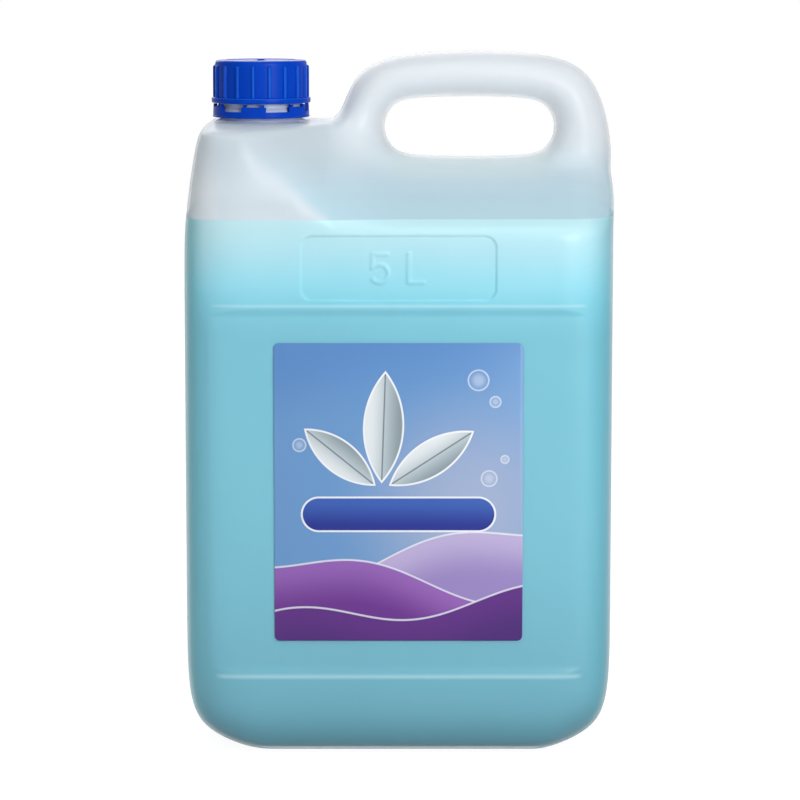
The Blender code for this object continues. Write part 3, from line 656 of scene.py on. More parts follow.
def cut_along(bm, faces, axis, places):
    """Adds an edge loop through some faces at each place on an axis."""
    normal = Vector((0, 0, 0))
    setattr(normal, axis, 1.0)
    geometry = with_corners(faces)
    for place in places:
        result = bmesh.ops.bisect_plane(
            bm, geom=geometry, plane_co=normal * place, plane_no=normal, dist=1e-6
        )
        geometry = result["geom"]


def spaced(low, high, gap):
    """Places from low to high about a gap apart."""
    count = max(round((high - low) / gap), 1)
    return [low + (high - low) * step / count for step in range(count + 1)]


def add_panel_loops(bm, fine):
    """Adds the loops that the label panel's ledge and foot need, front and back, and if fine its sides."""
    coarse = 0 if fine else 1
    ledge = spaced(PANEL_TOP - PANEL_LEDGE - PANEL_BLEND, PANEL_TOP + PANEL_BLEND, LEDGE_GAPS[coarse])
    low, high = PANEL_BOTTOM - 2 * PANEL_BLEND, PANEL_BOTTOM + PANEL_FOOT + 2 * PANEL_BLEND
    rows = spaced(low, high, FOOT_GAPS[coarse]) + ledge
    for depths in ((-1, -FLAT_REACH), (FLAT_REACH, 1)):
        cut_along(bm, faces_within(bm, y=depths, z=(0.0, DETAIL_TOP)), "z", rows)
        if not fine:
            continue
        heights = (PANEL_BOTTOM - FRAME_MARGIN, PANEL_TOP + FRAME_MARGIN)
        for side, reach in ((1, (FRAME_SIDE, 1)), (-1, (-1, -FRAME_SIDE))):
            faces = faces_within(bm, x=reach, y=depths, z=heights)
            cut_along(bm, faces, "x", [side * place for place in spaced(*FRAME_X, FRAME_GAP)])


def add_mark_loops(bm):
    """Adds the fine grid that the moulded panel and its characters need."""
    reach = MARK_WIDTH / 2 + MARK_EDGE
    low, high = MARK_MIDDLE - MARK_HEIGHT / 2 - MARK_EDGE, MARK_MIDDLE + MARK_HEIGHT / 2 + MARK_EDGE
    across, round_about = (-reach, reach), (low - MARK_MARGIN, high + MARK_MARGIN)
    for axis, columns, rows, places in (
        ("x", (-1, 1), round_about, across),
        ("z", across, round_about, (low, high)),
        ("x", across, (low, high), spaced(-reach, reach, GRID)[1:-1]),
        ("z", across, (low, high), spaced(low, high, GRID)[1:-1]),
    ):
        cut_along(bm, faces_within(bm, x=columns, y=(-1, -FACE_REACH), z=rows), axis, places)


def panel_depth(z):
    """How deep the label's panel lies under the can's face at a height."""
    top = 1.0 - eased(z, PANEL_TOP - PANEL_LEDGE, PANEL_TOP)
    foot = eased(z, PANEL_BOTTOM, PANEL_BOTTOM + PANEL_FOOT)
    return PANEL_DEPTH * min(top, foot)


def glyph_strokes():
    """The strokes of the moulded five and L, about the panel's middle."""
    unit = GLYPH_HEIGHT / 10
    bowl = arc_points((-6.7 * unit, 3.15 * unit), 3.15 * unit, math.radians(128), math.radians(-140), 22)
    five = [(-4.0 * unit, 10 * unit), (-9.0 * unit, 10 * unit), (-9.2 * unit, 5.1 * unit)] + bowl
    ell = [(3.6 * unit, 10 * unit), (3.6 * unit, 0.0), (8.6 * unit, 0.0)]
    low = MARK_MIDDLE - GLYPH_HEIGHT / 2
    return [[(x, z + low) for x, z in stroke] for stroke in (five, ell)]


def mark_depth(x, z, strokes):
    """How deep the moulded panel lies, less its raised characters."""
    edge = box_distance(x, z - MARK_MIDDLE, MARK_WIDTH, MARK_HEIGHT, MARK_RADIUS)
    depth = MARK_DEPTH * (1.0 - eased(edge, -MARK_EDGE / 2, MARK_EDGE / 2))
    if abs(x) < 0.014:
        near = min(stroke_distance(x, z, stroke) for stroke in strokes)
        depth -= GLYPH_PROUD * (1.0 - eased(near, GLYPH_STROKE - GLYPH_EDGE, GLYPH_STROKE + GLYPH_EDGE))
    return depth


def press_details(bm, fine):
    """Presses the panels and the foot into the can's form."""
    strokes = glyph_strokes()
    reach_x = MARK_WIDTH / 2 + MARK_EDGE
    reach_z = MARK_HEIGHT / 2 + MARK_EDGE
    for vert in bm.verts:
        x, y, z = vert.co
        depth = panel_depth(z)
        if depth > 0.0 and abs(y) > 0.05:
            floor = BODY_DEPTH / 2 - depth
            width = 2 * PANEL_BLEND * depth / PANEL_DEPTH
            vert.co.y = math.copysign(soft_min(abs(y), floor, width), y)
        if fine and y < -FACE_REACH and abs(x) < reach_x and abs(z - MARK_MIDDLE) < reach_z:
            vert.co.y += mark_depth(x, z, strokes)


def knifed(bm, faces, outline):
    """Cuts a convex level outline into some faces, and returns the faces inside it."""
    up = Vector((0, 0, 1))
    for here, after in zip(outline, outline[1:] + outline[:1]):
        normal = (after - here).cross(up)
        result = bmesh.ops.bisect_plane(
            bm, geom=with_corners(faces), plane_co=here, plane_no=normal, dist=1e-7
        )
        faces = [f for f in result["geom"] if isinstance(f, bmesh.types.BMFace)]
        faces = [f for f in faces if (f.calc_center_median() - here).dot(normal) < 0]
    return faces


def cut_level(bm, level, side):
    """Cuts off what is above a height, or below it for a side of -1, and returns the cut's new faces."""
    geometry = bm.verts[:] + bm.edges[:] + bm.faces[:]
    cut = bmesh.ops.bisect_plane(
        bm, geom=geometry, plane_co=(0, 0, level), plane_no=(0, 0, side), clear_outer=True, dist=1e-7
    )
    rim = [e for e in cut["geom_cut"] if isinstance(e, bmesh.types.BMEdge)]
    return bmesh.ops.edgeloop_fill(bm, edges=rim)["faces"]


def flatten_foot(bm, level):
    """Gives the form a flat foot at a height, with a push-up inside its rim."""
    filled = cut_level(bm, level, -1)
    corners = rounded_corners(BODY_WIDTH - 2 * FOOT_RIM, BODY_DEPTH - 2 * FOOT_RIM, CORNER_RUN, 6)
    push_up = knifed(bm, filled, [Vector((x, y, level)) for x, y in corners])
    bmesh.ops.inset_region(bm, faces=push_up, thickness=FOOT_DRAFT, depth=-FOOT_PUSH, use_even_offset=True)
    bmesh.ops.recalc_face_normals(bm, faces=bm.faces)


def raise_seam(bm, proud):
    """Raises a thin parting line all round the middle plane."""
    cut_along(bm, faces_within(bm, y=(-SEAM_ZONE, SEAM_ZONE)), "y", (-SEAM_HALF, SEAM_HALF))
    bm.normal_update()
    for vert in bm.verts:
        if abs(vert.co.y) < 1e-6:
            vert.co += vert.normal * proud


def shifted(bm, distance):
    """Moves every point of a form inward along its normal."""
    bm.normal_update()
    moves = [(vert, vert.normal * distance) for vert in bm.verts]
    for vert, move in moves:
        vert.co -= move
    return bm


def inner_form(level, distance):
    """The can's form a distance inside its outer face, with a flat foot."""
    bm = smooth_form(level)
    add_panel_loops(bm, False)
    press_details(bm, False)
    shifted(bm, distance)
    flatten_foot(bm, distance)
    return bm


def neck_profile():
    """The neck's outside from its root in the shoulder to its rim."""
    slope = BEAD_RADIUS - NECK_RADIUS
    flare = arc_points((NECK_RADIUS + 0.0012, SHOULDER_HEIGHT + 0.0012), 0.0012, 1.5 * math.pi, math.pi, 4)
    rim = arc_points((NECK_RADIUS - 0.0005, NECK_RIM - 0.0005), 0.0005, 0.0, math.pi / 2, 4)
    return (
        [(0.0, NECK_ROOT), (NECK_RADIUS + 0.0012, NECK_ROOT)]
        + flare
        + [(NECK_RADIUS, BEAD_FOOT), (BEAD_RADIUS - 0.0003, BEAD_FOOT), (BEAD_RADIUS, BEAD_FOOT + 0.0003)]
        + [(BEAD_RADIUS, BEAD_TOP), (NECK_RADIUS, BEAD_TOP + slope)]
        + rim
        + [(0.0, NECK_RIM)]
    )


def thread_ridge(radius, rise, start):
    """A thread's ridge on a radius: its section spun up along the neck's axis, with ends that run out."""
    bm = bmesh.new()
    outward = 1 if rise > 0 else -1
    sunk = radius - outward * THREAD_SUNK
    crest = radius + rise
    section = [(sunk, -THREAD_ROOT), (crest, -THREAD_CREST), (crest, THREAD_CREST), (sunk, THREAD_ROOT)]
    points = [bm.verts.new((NECK_X + r, 0.0, start + h)) for r, h in section]
    edges = [bm.edges.new((points[i], points[(i + 1) % 4])) for i in range(4)]
    steps = round(THREAD_STEPS * THREAD_TURNS)
    height = THREAD_PITCH * THREAD_TURNS
    bmesh.ops.spin(
        bm,
        geom=points + edges,
        cent=(NECK_X, 0.0, 0.0),
        axis=(0.0, 0.0, 1.0),
        dvec=(0.0, 0.0, height / steps),
        angle=math.tau * THREAD_TURNS,
        steps=steps,
    )
    bmesh.ops.holes_fill(bm, edges=[e for e in bm.edges if e.is_boundary], sides=4)
    for vert in bm.verts:
        if outward * (from_axis(vert).length - radius) < 0.0:
            continue
        share = (vert.co.z - start) / height
        fade = eased(share, 0.0, THREAD_END) * (1.0 - eased(share, 1.0 - THREAD_END, 1.0))
        set_reach(vert, radius - outward * THREAD_SETBACK + (rise + outward * THREAD_SETBACK) * fade)
    bmesh.ops.recalc_face_normals(bm, faces=bm.faces)
    return bm


def build_can(sizes):
    """The can's shell with its neck, panels, foot and parting line, as a bmesh."""
    shell = shifted(smooth_form(sizes.fineness), SKIN_SETBACK)
    raise_seam(shell, sizes.seam)
    add_panel_loops(shell, True)
    add_mark_loops(shell)
    press_details(shell, True)
    flatten_foot(shell, 0.0)
    shell = combined(shell, turned(neck_profile(), NECK_STEPS, closed=False), "UNION")
    shell = combined(shell, inner_form(sizes.fineness, sizes.wall), "DIFFERENCE")
    low = SHOULDER_HEIGHT - sizes.wall - 0.004
    lip = arc_points((NECK_BORE + 0.0004, NECK_RIM - 0.0004), 0.0004, math.pi, math.pi / 2, 3)
    high = NECK_RIM + 0.004
    bore = [(0.0, low), (NECK_BORE, low)] + lip + [(NECK_BORE + 0.0004, high), (0.0, high)]
    return combined(shell, turned(bore, NECK_STEPS, closed=False), "DIFFERENCE")


# The liquid, the label and the closure


def build_liquid(sizes):
    """The liquid inside the can up to its level."""
    bm = inner_form(sizes.fineness, sizes.wall + FIT)
    top = cut_level(bm, FILL_HEIGHT, 1)
    bmesh.ops.inset_region(bm, faces=top, thickness=0.0012, depth=-0.0005, use_even_offset=True)
    bmesh.ops.recalc_face_normals(bm, faces=bm.faces)
    return bm


def build_label():
    """The label's film: a thin rounded sheet with eased edges."""
    bm = bmesh.new()
    near_y = -(BODY_DEPTH / 2 - PANEL_DEPTH + FIT)
    corners = rounded_corners(LABEL_WIDTH, LABEL_HEIGHT, LABEL_RADIUS, 8)
    sheet = bm.faces.new([bm.verts.new((x, near_y, LABEL_MIDDLE + z)) for x, z in corners])
    grown = bmesh.ops.extrude_face_region(bm, geom=[sheet])
    front = [v for v in grown["geom"] if isinstance(v, bmesh.types.BMVert)]
    bmesh.ops.translate(bm, verts=front, vec=(0, -LABEL_THICKNESS, 0))
    edges = [e for e in bm.edges if all(abs(v.co.y - (near_y - LABEL_THICKNESS)) < 1e-7 for v in e.verts)]
    bmesh.ops.bevel(
        bm,
        geom=edges,
        offset=LABEL_EASE,
        offset_type="OFFSET",
        affect="EDGES",
        segments=2,
        profile=0.5,
        material=-1,
    )
    bmesh.ops.recalc_face_normals(bm, faces=bm.faces)
    return bm


def rib_share(angle):
    """How much of a rib stands at an angle round the cap, from 0 on a panel to 1 on the rib."""
    pitch = math.tau / CAP_RIBS
    away = abs((angle - CAP_TURN + pitch / 2) % pitch - pitch / 2) / (RIB_HALF + RIB_FLANK / 2)
    return math.sqrt(max(0.0, 1.0 - away**2))


def build_cap(sizes):
    """The cap: its flange, ribbed skirt and rounded top, hollow below, with its gate mark."""
    edge = 0.0003
    top_reach = CAP_PANEL - 0.0002
    panel_rows = spaced(CAP_FLANGE_TOP + 0.0004, RIB_TOP - 0.0006, 0.003)
    outer = (
        arc_points((CAP_FLANGE - edge, CAP_FOOT + edge), edge, -math.pi / 2, 0.0, 3)
        + arc_points((CAP_FLANGE - edge, CAP_FLANGE_TOP - edge), edge, 0.0, math.pi / 2, 3)
        + [(CAP_PANEL + 0.0003, CAP_FLANGE_TOP), (CAP_PANEL, CAP_FLANGE_TOP + 0.0002)]
        + [(CAP_PANEL, z) for z in panel_rows]
        + [(CAP_PANEL, RIB_TOP - 0.0003), (CAP_PANEL - 0.0001, RIB_TOP), (top_reach, RIB_TOP + 0.0003)]
        + arc_points((top_reach - CAP_ROUNDING, CAP_TOP - CAP_ROUNDING), CAP_ROUNDING, 0.0, math.pi / 2, 7)
        + [(0.0152, CAP_TOP), (0.0150, CAP_TOP - 0.0002), (0.0030, CAP_TOP - 0.0002)]
        + [(0.0028, CAP_TOP - 0.0004), (0.0018, CAP_TOP - 0.0004), (0.0016, CAP_TOP - 0.0001)]
        + [(0.0014, CAP_TOP + 0.0003), (0.0010, CAP_TOP + 0.0005), (0.0, CAP_TOP + 0.0005)]
    )
    inner = [(0.0, CAP_CEILING), (CAP_BORE - 0.0003, CAP_CEILING), (CAP_BORE, CAP_CEILING - 0.0003)]
    inner += [(CAP_BORE, CAP_FOOT + 0.0005), (CAP_BORE + 0.0005, CAP_FOOT)]
    bm = turned(inner + outer, sizes.cap_steps, closed=False)
    for vert in bm.verts:
        offset = from_axis(vert)
        z = vert.co.z
        on_skirt = CAP_FLANGE_TOP + 0.00005 < z < RIB_TOP - 0.0001
        if on_skirt and CAP_PANEL - 0.00005 < offset.length < CAP_PANEL + 0.0004:
            height = 1.0 - eased(z, RIB_TOP - 0.0007, RIB_TOP)
            rib = rib_share(math.atan2(offset.y, offset.x)) * height
            set_reach(vert, offset.length + (CAP_RIB - CAP_PANEL) * rib)
    bmesh.ops.recalc_face_normals(bm, faces=bm.faces)
    return bm


def build_band():
    """The tamper band: a turned ring with tabs raised from its top and bridges raised from the tabs."""
    profile = [
        (BAND_BORE, BAND_SILL),
        (BAND_BORE, BAND_FOOT + 0.0011),
        (BAND_BORE - BAND_LIP, BAND_FOOT + 0.0008),
        (BAND_BORE - BAND_LIP, BAND_FOOT + 0.0001),
        (BAND_BORE - BAND_LIP + 0.0001, BAND_FOOT),
        (BAND_SKIN - 0.0002, BAND_FOOT),
        (BAND_SKIN + 0.0001, BAND_FOOT + 0.0001),
        (BAND_SKIN + 0.0002, BAND_FOOT + 0.0003),
        (BAND_SKIN + 0.0002, BAND_FOOT + 0.0006),
        (BAND_SKIN, BAND_FOOT + 0.0008),
        (BAND_SKIN, BAND_SILL),
    ]
    bm = turned(profile, BAND_STEPS)
    pitch = math.tau / BAND_TABS

    def stands(face, low, high, centres):
        middle = face.calc_center_median()
        angle = math.atan2(middle.y, middle.x - NECK_X) - CAP_TURN
        away = [abs((angle - c + pitch / 2) % pitch - pitch / 2) for c in centres]
        return any(low <= a <= high for a in away)

    for level, top, half, centres in (
        (BAND_SILL, BAND_TAB_TOP, pitch / 4, (0.0,)),
        (BAND_TAB_TOP, BAND_BRIDGE_TOP, BRIDGE_ANGLE / 2, (-BRIDGE_SPREAD, BRIDGE_SPREAD)),
    ):
        faces = [
            f for f in bm.faces
            if all(abs(v.co.z - level) < 1e-6 for v in f.verts) and stands(f, 0.0, half, centres)
        ]
        raised = bmesh.ops.extrude_face_region(bm, geom=faces)
        tops = [v for v in raised["geom"] if isinstance(v, bmesh.types.BMVert)]
        bmesh.ops.translate(bm, verts=tops, vec=(0, 0, top - level))
        bmesh.ops.delete(bm, geom=faces, context="FACES")
    bmesh.ops.recalc_face_normals(bm, faces=bm.faces)
    return bm


def build_wad():
    """The foam wad, a disc with eased edges."""
    reach = WAD_RADIUS - WAD_EDGE
    profile = [(0.0, WAD_FOOT)]
    profile += arc_points((reach, WAD_FOOT + WAD_EDGE), WAD_EDGE, -math.pi / 2, 0.0, 2)
    profile += arc_points((reach, WAD_TOP - WAD_EDGE), WAD_EDGE, 0.0, math.pi / 2, 2)
    profile += [(0.0, WAD_TOP)]
    return turned(profile, WAD_STEPS, closed=False)


# Finishes


class Field:
    """A value over a surface. Arithmetic on it adds Math nodes to its finish."""

    def __init__(self, finish, socket):
        self.finish = finish
        self.socket = socket

    def __add__(self, other):
        return self.finish.math("ADD", self, other)

    def __sub__(self, other):
        return self.finish.math("SUBTRACT", self, other)

    def __rsub__(self, other):
        return self.finish.math("SUBTRACT", other, self)

    def __mul__(self, other):
        return self.finish.math("MULTIPLY", self, other)

    __radd__ = __add__


class Finish:
    """One material of nodes that read the piece's own coordinates."""

    def __init__(self, name, **values):
        self.material = bpy.data.materials.new(name)
        self.material.use_nodes = True
        self.tree = self.material.node_tree
        self.shader = self.tree.nodes["Principled BSDF"]
        self.coordinates = self.tree.nodes.new("ShaderNodeTexCoord").outputs["Object"]
        for key, value in values.items():
            self.set(key.replace("_", " ").title().replace("Ior", "IOR"), value)

    def set(self, socket, value):
        """Gives one of the shader's sockets a value, a colour or a field."""
        self.plug(value, self.shader.inputs[socket])

    def plug(self, value, socket):
        """Links a field to a socket, or writes a value there."""
        if isinstance(value, Field):
            self.tree.links.new(value.socket, socket)
        elif socket.type == "RGBA":
            socket.default_value = (*value[:3], 1.0)
        else:
            socket.default_value = value

    def math(self, operation, *values):
        """A Math node's result."""
        node = self.tree.nodes.new("ShaderNodeMath")
        node.operation = operation
        for value, socket in zip(values, node.inputs):
            self.plug(value, socket)
        return Field(self, node.outputs[0])

    def distance(self, first, second):
        """How far off a point is, from its offsets along two axes."""
        return self.math("SQRT", first * first + second * second)

    def near(self, offset, reach, full=0.0):
        """1 where an offset is at most full, and 0 where it is past its reach."""
        return self.eased(self.math("ABSOLUTE", offset), reach, full)

    def tones(self, base, *layers):
        """A colour under layers, each the share and the 8-bit screen colour of a tone."""
        for share, tone in layers:
            base = self.mix(share, base, steady(tone))
        return base

    def axes(self):
        """The piece's X, Y and Z as fields."""
        node = self.tree.nodes.new("ShaderNodeSeparateXYZ")
        self.tree.links.new(self.coordinates, node.inputs[0])
        return [Field(self, socket) for socket in node.outputs]

    def eased(self, value, low, high):
        """0 below low, 1 above high, and a smooth rise between."""
        node = self.tree.nodes.new("ShaderNodeMapRange")
        node.interpolation_type = "SMOOTHSTEP"
        self.plug(value, node.inputs["Value"])
        if low > high:
            low, high = high, low
            node.inputs["To Min"].default_value = 1.0
            node.inputs["To Max"].default_value = 0.0
        node.inputs["From Min"].default_value = low
        node.inputs["From Max"].default_value = high
        return Field(self, node.outputs["Result"])

    def mix(self, share, first, second):
        """Two colours mixed by a field."""
        node = self.tree.nodes.new("ShaderNodeMix")
        node.data_type = "RGBA"
        self.plug(share, node.inputs["Factor"])
        colours = [socket for socket in node.inputs if socket.type == "RGBA"]
        self.plug(first, colours[0])
        self.plug(second, colours[1])
        return Field(self, next(socket for socket in node.outputs if socket.type == "RGBA"))

    def noise(self, scale, detail=2.0, stretch=(1, 1, 1)):
        """Noise from 0 to 1 over the piece's own coordinates."""
        mapping = self.tree.nodes.new("ShaderNodeMapping")
        mapping.inputs["Scale"].default_value = stretch
        self.tree.links.new(self.coordinates, mapping.inputs["Vector"])
        node = self.tree.nodes.new("ShaderNodeTexNoise")
        node.inputs["Scale"].default_value = scale
        node.inputs["Detail"].default_value = detail
        self.tree.links.new(mapping.outputs[0], node.inputs["Vector"])
        return Field(self, node.outputs[0])

    def bump(self, height, strength, distance):
        """Turns a height field into the shader's normal."""
        node = self.tree.nodes.new("ShaderNodeBump")
        node.inputs["Strength"].default_value = strength
        node.inputs["Distance"].default_value = distance
        self.plug(height, node.inputs["Height"])
        self.tree.links.new(node.outputs[0], self.shader.inputs["Normal"])


# Where the wall's tones lie, in metres: none at the first place and all at the second. Most of them paint
# light or shade onto the wall

# Painted light towards the liquid's level, over the next two zones
BRIM_LIGHT = (FILL_HEIGHT - 0.036, FILL_HEIGHT + 0.002)
UPPER_LIGHT = (0.176, 0.204)
# Painted shade towards the foot, over the next two zones
LOW_SHADE = (0.120, -0.020)
FOOT_SHADE = (0.026, 0.0)
LEVEL = (FILL_HEIGHT + 0.0003, FILL_HEIGHT - 0.0003)
# Where the painted highlights on the panel's ledges lie: the front and back faces
LIP_HIGHLIGHT_FACE = (0.064, 0.0655)
# The handle, which is clearer and carries painted light
HANDLE_X = (-0.036, -0.016)
HANDLE_Z = (0.240, 0.262)
SLOPE_EDGE = (-0.0065, 0.0)
# Painted shade on the slope under the handle
SLOPE_SHADE_Z = (0.258, 0.228)
SHOULDER_Z = (0.262, 0.236)
# Painted light on the shoulder's left side
LIT_SHOULDER_LEFT = (-0.070, -0.084)
SHOULDER_MIDDLE = (0.088, 0.074)
# The grip's rim, which is clearer, and the part under it, which carries painted light
GRIP_RIM = (0.012, 0.001)
NECK_REACH = (0.0202, 0.0192)
NECK_Z = (0.2600, 0.2640)
# Painted shade down the right side
SHADED_RIGHT_SIDE = (0.076, 0.090)
# Painted light down the filled wall's left side
LIT_LEFT_SIDE = (-0.079, -0.089)
# Painted shade in the base's right corner
CORNER_SHADE_X = (0.062, 0.084)
CORNER_SHADE_Z = (0.034, 0.006)

# The wall's tones, as 8-bit screen colours: painted shade, painted light, and the neck's milky plastic with
# painted light

# Painted shade, at the foot and in the base's right corner
SHADE_TONE = (76, 132, 146)
# Painted shade on the slope, with a cyan cast
SLOPE_SHADE_TONE = (176, 226, 243)
# Painted light on the shoulder's front facet
FACET_LIGHT_TONE = (238, 247, 253)
# Painted light on the shoulder's left side
SHOULDER_LIGHT_TONE = (250, 253, 255)
# Painted light on the handle
HANDLE_LIGHT_TONE = (243, 247, 252)
# Painted light under the grip
GRIP_LIGHT_TONE = (238, 254, 255)
# The neck's thicker, milkier plastic, with painted light against the cap flange's shadow
NECK_MILK_AND_LIGHT_TONE = (202, 214, 242)
# Painted light down the filled wall's left side
LEFT_LIGHT_TONE = (136, 232, 244)
# Painted shade down the right side
RIGHT_SHADE_TONE = (58, 172, 192)


def grip_rim(finish, x, z):
    """The rim round the handle's opening, and the part of it under the opening that carries painted light."""
    radius = (GRIP_TOP - GRIP_BOTTOM) / 2
    straight = (GRIP_RIGHT - GRIP_LEFT) / 2 - radius
    past_end = finish.math("ABSOLUTE", x - (GRIP_LEFT + GRIP_RIGHT) / 2) - straight
    height = z - (GRIP_TOP + GRIP_BOTTOM) / 2
    away = finish.distance(finish.math("MAXIMUM", past_end, 0.0), height)
    rim = finish.eased(away, radius + GRIP_RIM[0], radius + GRIP_RIM[1])
    return rim, rim * finish.eased(height, -radius * 0.6, -radius)


def wall_finish(colours):
    """Natural polyethylene: milky over air, tinted where the liquid backs it, with moulding ripples, and with
    painted light and painted shade laid over its colour.
    """
    finish = Finish("milky_polyethylene", ior=1.5, specular_ior_level=0.35)
    x, y, z = finish.axes()
    cloud = finish.noise(26, 3.0)
    level = z + (cloud - 0.5) * 0.006
    # Painted shade: the filled wall darkens towards the foot, in two steps
    wet = finish.mix(finish.eased(level, *LOW_SHADE), colours.wet_wall, colours.wet_foot_shade)
    wet = finish.tones(wet, (finish.eased(z, *FOOT_SHADE) * 0.5, SHADE_TONE))
    # Painted light: the filled wall lightens towards the liquid's level
    wet = finish.mix(finish.eased(level, *UPPER_LIGHT), wet, colours.lit_upper_fill)
    wet = finish.mix(finish.eased(level, *BRIM_LIGHT), wet, colours.lit_brim)
    # Painted highlights: pale lines along the label panel's top ledge and its foot
    lip_highlights = finish.near(z - (PANEL_TOP + 0.0006), 0.0011) + finish.near(z - (PANEL_BOTTOM + 0.0012), 0.0016)
    lip_highlights = lip_highlights * finish.eased(finish.math("ABSOLUTE", y), *LIP_HIGHLIGHT_FACE)
    wet = finish.mix(lip_highlights * 0.5, wet, colours.lit_brim)
    # Painted shade in the base's right corner
    corner = finish.eased(x, *CORNER_SHADE_X) * finish.eased(z, *CORNER_SHADE_Z)
    # Painted light down the filled wall's left side, then the painted shade in the base's right corner
    wet = finish.tones(wet, (finish.eased(x, *LIT_LEFT_SIDE) * 0.7, LEFT_LIGHT_TONE), (corner * 0.4, SHADE_TONE))

    start_z = CREASE_HEIGHT + SLOPE_START_RISE
    past = (x - SLOPE_START_X) * math.sin(SLOPE_TURN) + (z - start_z) * math.cos(SLOPE_TURN)
    slope = finish.eased(past, *SLOPE_EDGE)
    shoulder = finish.eased(z, *SHOULDER_Z)
    handle = finish.eased(x, *HANDLE_X) * finish.eased(z, *HANDLE_Z)
    rim, under = grip_rim(finish, x, z)
    neck = finish.eased(finish.distance(x - NECK_X, y), *NECK_REACH) * finish.eased(z, *NECK_Z)
    dry = finish.tones(
        finish.mix(cloud, colours.dry_wall, tuple(c * 0.93 for c in colours.dry_wall)),
        # Painted shade on the slope under the handle
        (slope * finish.eased(z, *SLOPE_SHADE_Z) * 0.5, SLOPE_SHADE_TONE),
        # Painted light on the shoulder's front facet, left of the crease
        ((1.0 - slope) * shoulder * 0.5, FACET_LIGHT_TONE),
        # Painted light on the shoulder's left side
        (finish.eased(x, *LIT_SHOULDER_LEFT) * shoulder * 0.8, SHOULDER_LIGHT_TONE),
        # Painted light on the handle, where the backdrop's light comes through
        (handle * 0.75, HANDLE_LIGHT_TONE),
        # Painted light under the grip, against the handle's shadow
        (under * 0.7, GRIP_LIGHT_TONE),
        # The neck's thicker, milkier plastic, with painted light against the cap flange's shadow
        (neck, NECK_MILK_AND_LIGHT_TONE),
    )

    filled = finish.eased(z, *LEVEL)
    # Painted shade down the right side, weak where the can is empty
    side = finish.eased(x, *SHADED_RIGHT_SIDE) * 0.5 * shoulder * (0.15 + filled * 0.85)
    finish.set("Base Color", finish.tones(finish.mix(filled, dry, wet), (side, RIGHT_SHADE_TONE)))
    empty = (1.0 - filled) * shoulder
    dense = cloud * 0.06 + filled * 0.30 + neck * 0.45 + empty * finish.near(x, *SHOULDER_MIDDLE) * 0.22
    clear = handle * 0.01 + rim * 0.10 + under * 0.08
    finish.set("Alpha", 0.38 + dense - clear)
    grain = finish.noise(700, 2.0)
    finish.set("Roughness", 0.27 + grain * 0.08 + empty * 0.16)
    ripple = finish.noise(120, 2.0, (1, 1, 0.35))
    finish.bump(ripple * 0.7 + grain * 0.3, 0.10, 0.0004)
    return finish.material


def liquid_finish(colours):
    """Pearly blue-green soap with painted shade towards the can's foot, painted light on its level and a
    painted pearly sheen.
    """
    finish = Finish("liquid_soap", roughness=0.35, ior=1.35, specular_ior_level=0.3)
    z = finish.axes()[2]
    swirl = finish.noise(18, 3.0, (1, 1, 0.5))
    # Painted shade: the liquid darkens towards the foot
    deep = finish.eased(z + (swirl - 0.5) * 0.03, 0.215, -0.01)
    base = finish.mix(deep, colours.liquid, colours.liquid_foot_shade)
    # Painted light on the liquid's level, whose top face lies in shade
    base = finish.tones(base, (finish.eased(z, FILL_HEIGHT - 0.0018, FILL_HEIGHT - 0.0008), (214, 246, 252)))
    # Painted pearly sheen in random swirls
    pearl_sheen = finish.eased(swirl, 0.45, 0.75) * 0.08
    finish.set("Base Color", finish.mix(pearl_sheen, base, colours.lit_brim))
    return finish.material


def plastic_finish(name, colour):
    """Moulded blue polypropylene with a fine grain, with a painted highlight on its ribs and painted shade
    beside them.
    """
    finish = Finish(name, ior=1.49, specular_ior_level=0.08)
    x, y, z = finish.axes()
    cloud = finish.noise(90, 2.0)
    base = finish.mix(cloud, colour, tuple(c * 0.88 for c in colour))
    radius = finish.distance(x - NECK_X, y)
    # Painted highlight on the ribs' faces
    rib_highlight = finish.eased(radius, CAP_PANEL + 0.0004, CAP_RIB)
    rib_highlight = rib_highlight * finish.eased(z, CAP_FLANGE_TOP - 0.0006, CAP_FLANGE_TOP)
    # Painted shade at the ribs' roots
    root = finish.eased(radius, CAP_PANEL + 0.0005, CAP_PANEL + 0.0001)
    root = root * finish.eased(radius, CAP_PANEL, CAP_PANEL + 0.0001)
    # The ribs' painted highlight, then the painted shade at their roots
    base = finish.tones(base, (rib_highlight * 0.55, (20, 108, 226)))
    finish.set("Base Color", finish.mix(root * 0.5, base, tuple(c * 0.5 for c in colour)))
    grain = finish.noise(1500, 2.0)
    finish.set("Roughness", 0.26 + grain * 0.10)
    finish.bump(grain, 0.10, 0.00015)
    return finish.material


def foam_finish():
    """White closed-cell foam."""
    finish = Finish("foam_wad")
    cells = finish.noise(1800, 3.0)
    finish.set("Base Color", finish.mix(cells, (0.86, 0.86, 0.84), (0.74, 0.74, 0.72)))
    finish.set("Roughness", 0.75 + cells * 0.15)
    finish.bump(cells, 0.4, 0.0003)
    return finish.material


# The label's print, in millimetres about its middle, with 8-bit screen colours

# A hill's lift, slant, phase, crest colour and foot colour, where None is the violet setting
HILLS = (
    (-27.0, 0.22, 0.4, (186, 172, 212), (150, 132, 190)),
    (-36.0, -0.16, 2.4, (146, 96, 178), None),
    (-49.0, 0.10, 4.3, (92, 40, 128), (70, 30, 112)),
)
# A leaf's root, turn, length and width
LEAVES = (
    ((-7.0, 4.0), math.radians(88), 47.0, 17.0),
    ((-9.5, 3.0), math.radians(141), 38.0, 14.0),
    ((-4.0, 3.0), math.radians(33), 42.0, 15.0),
)
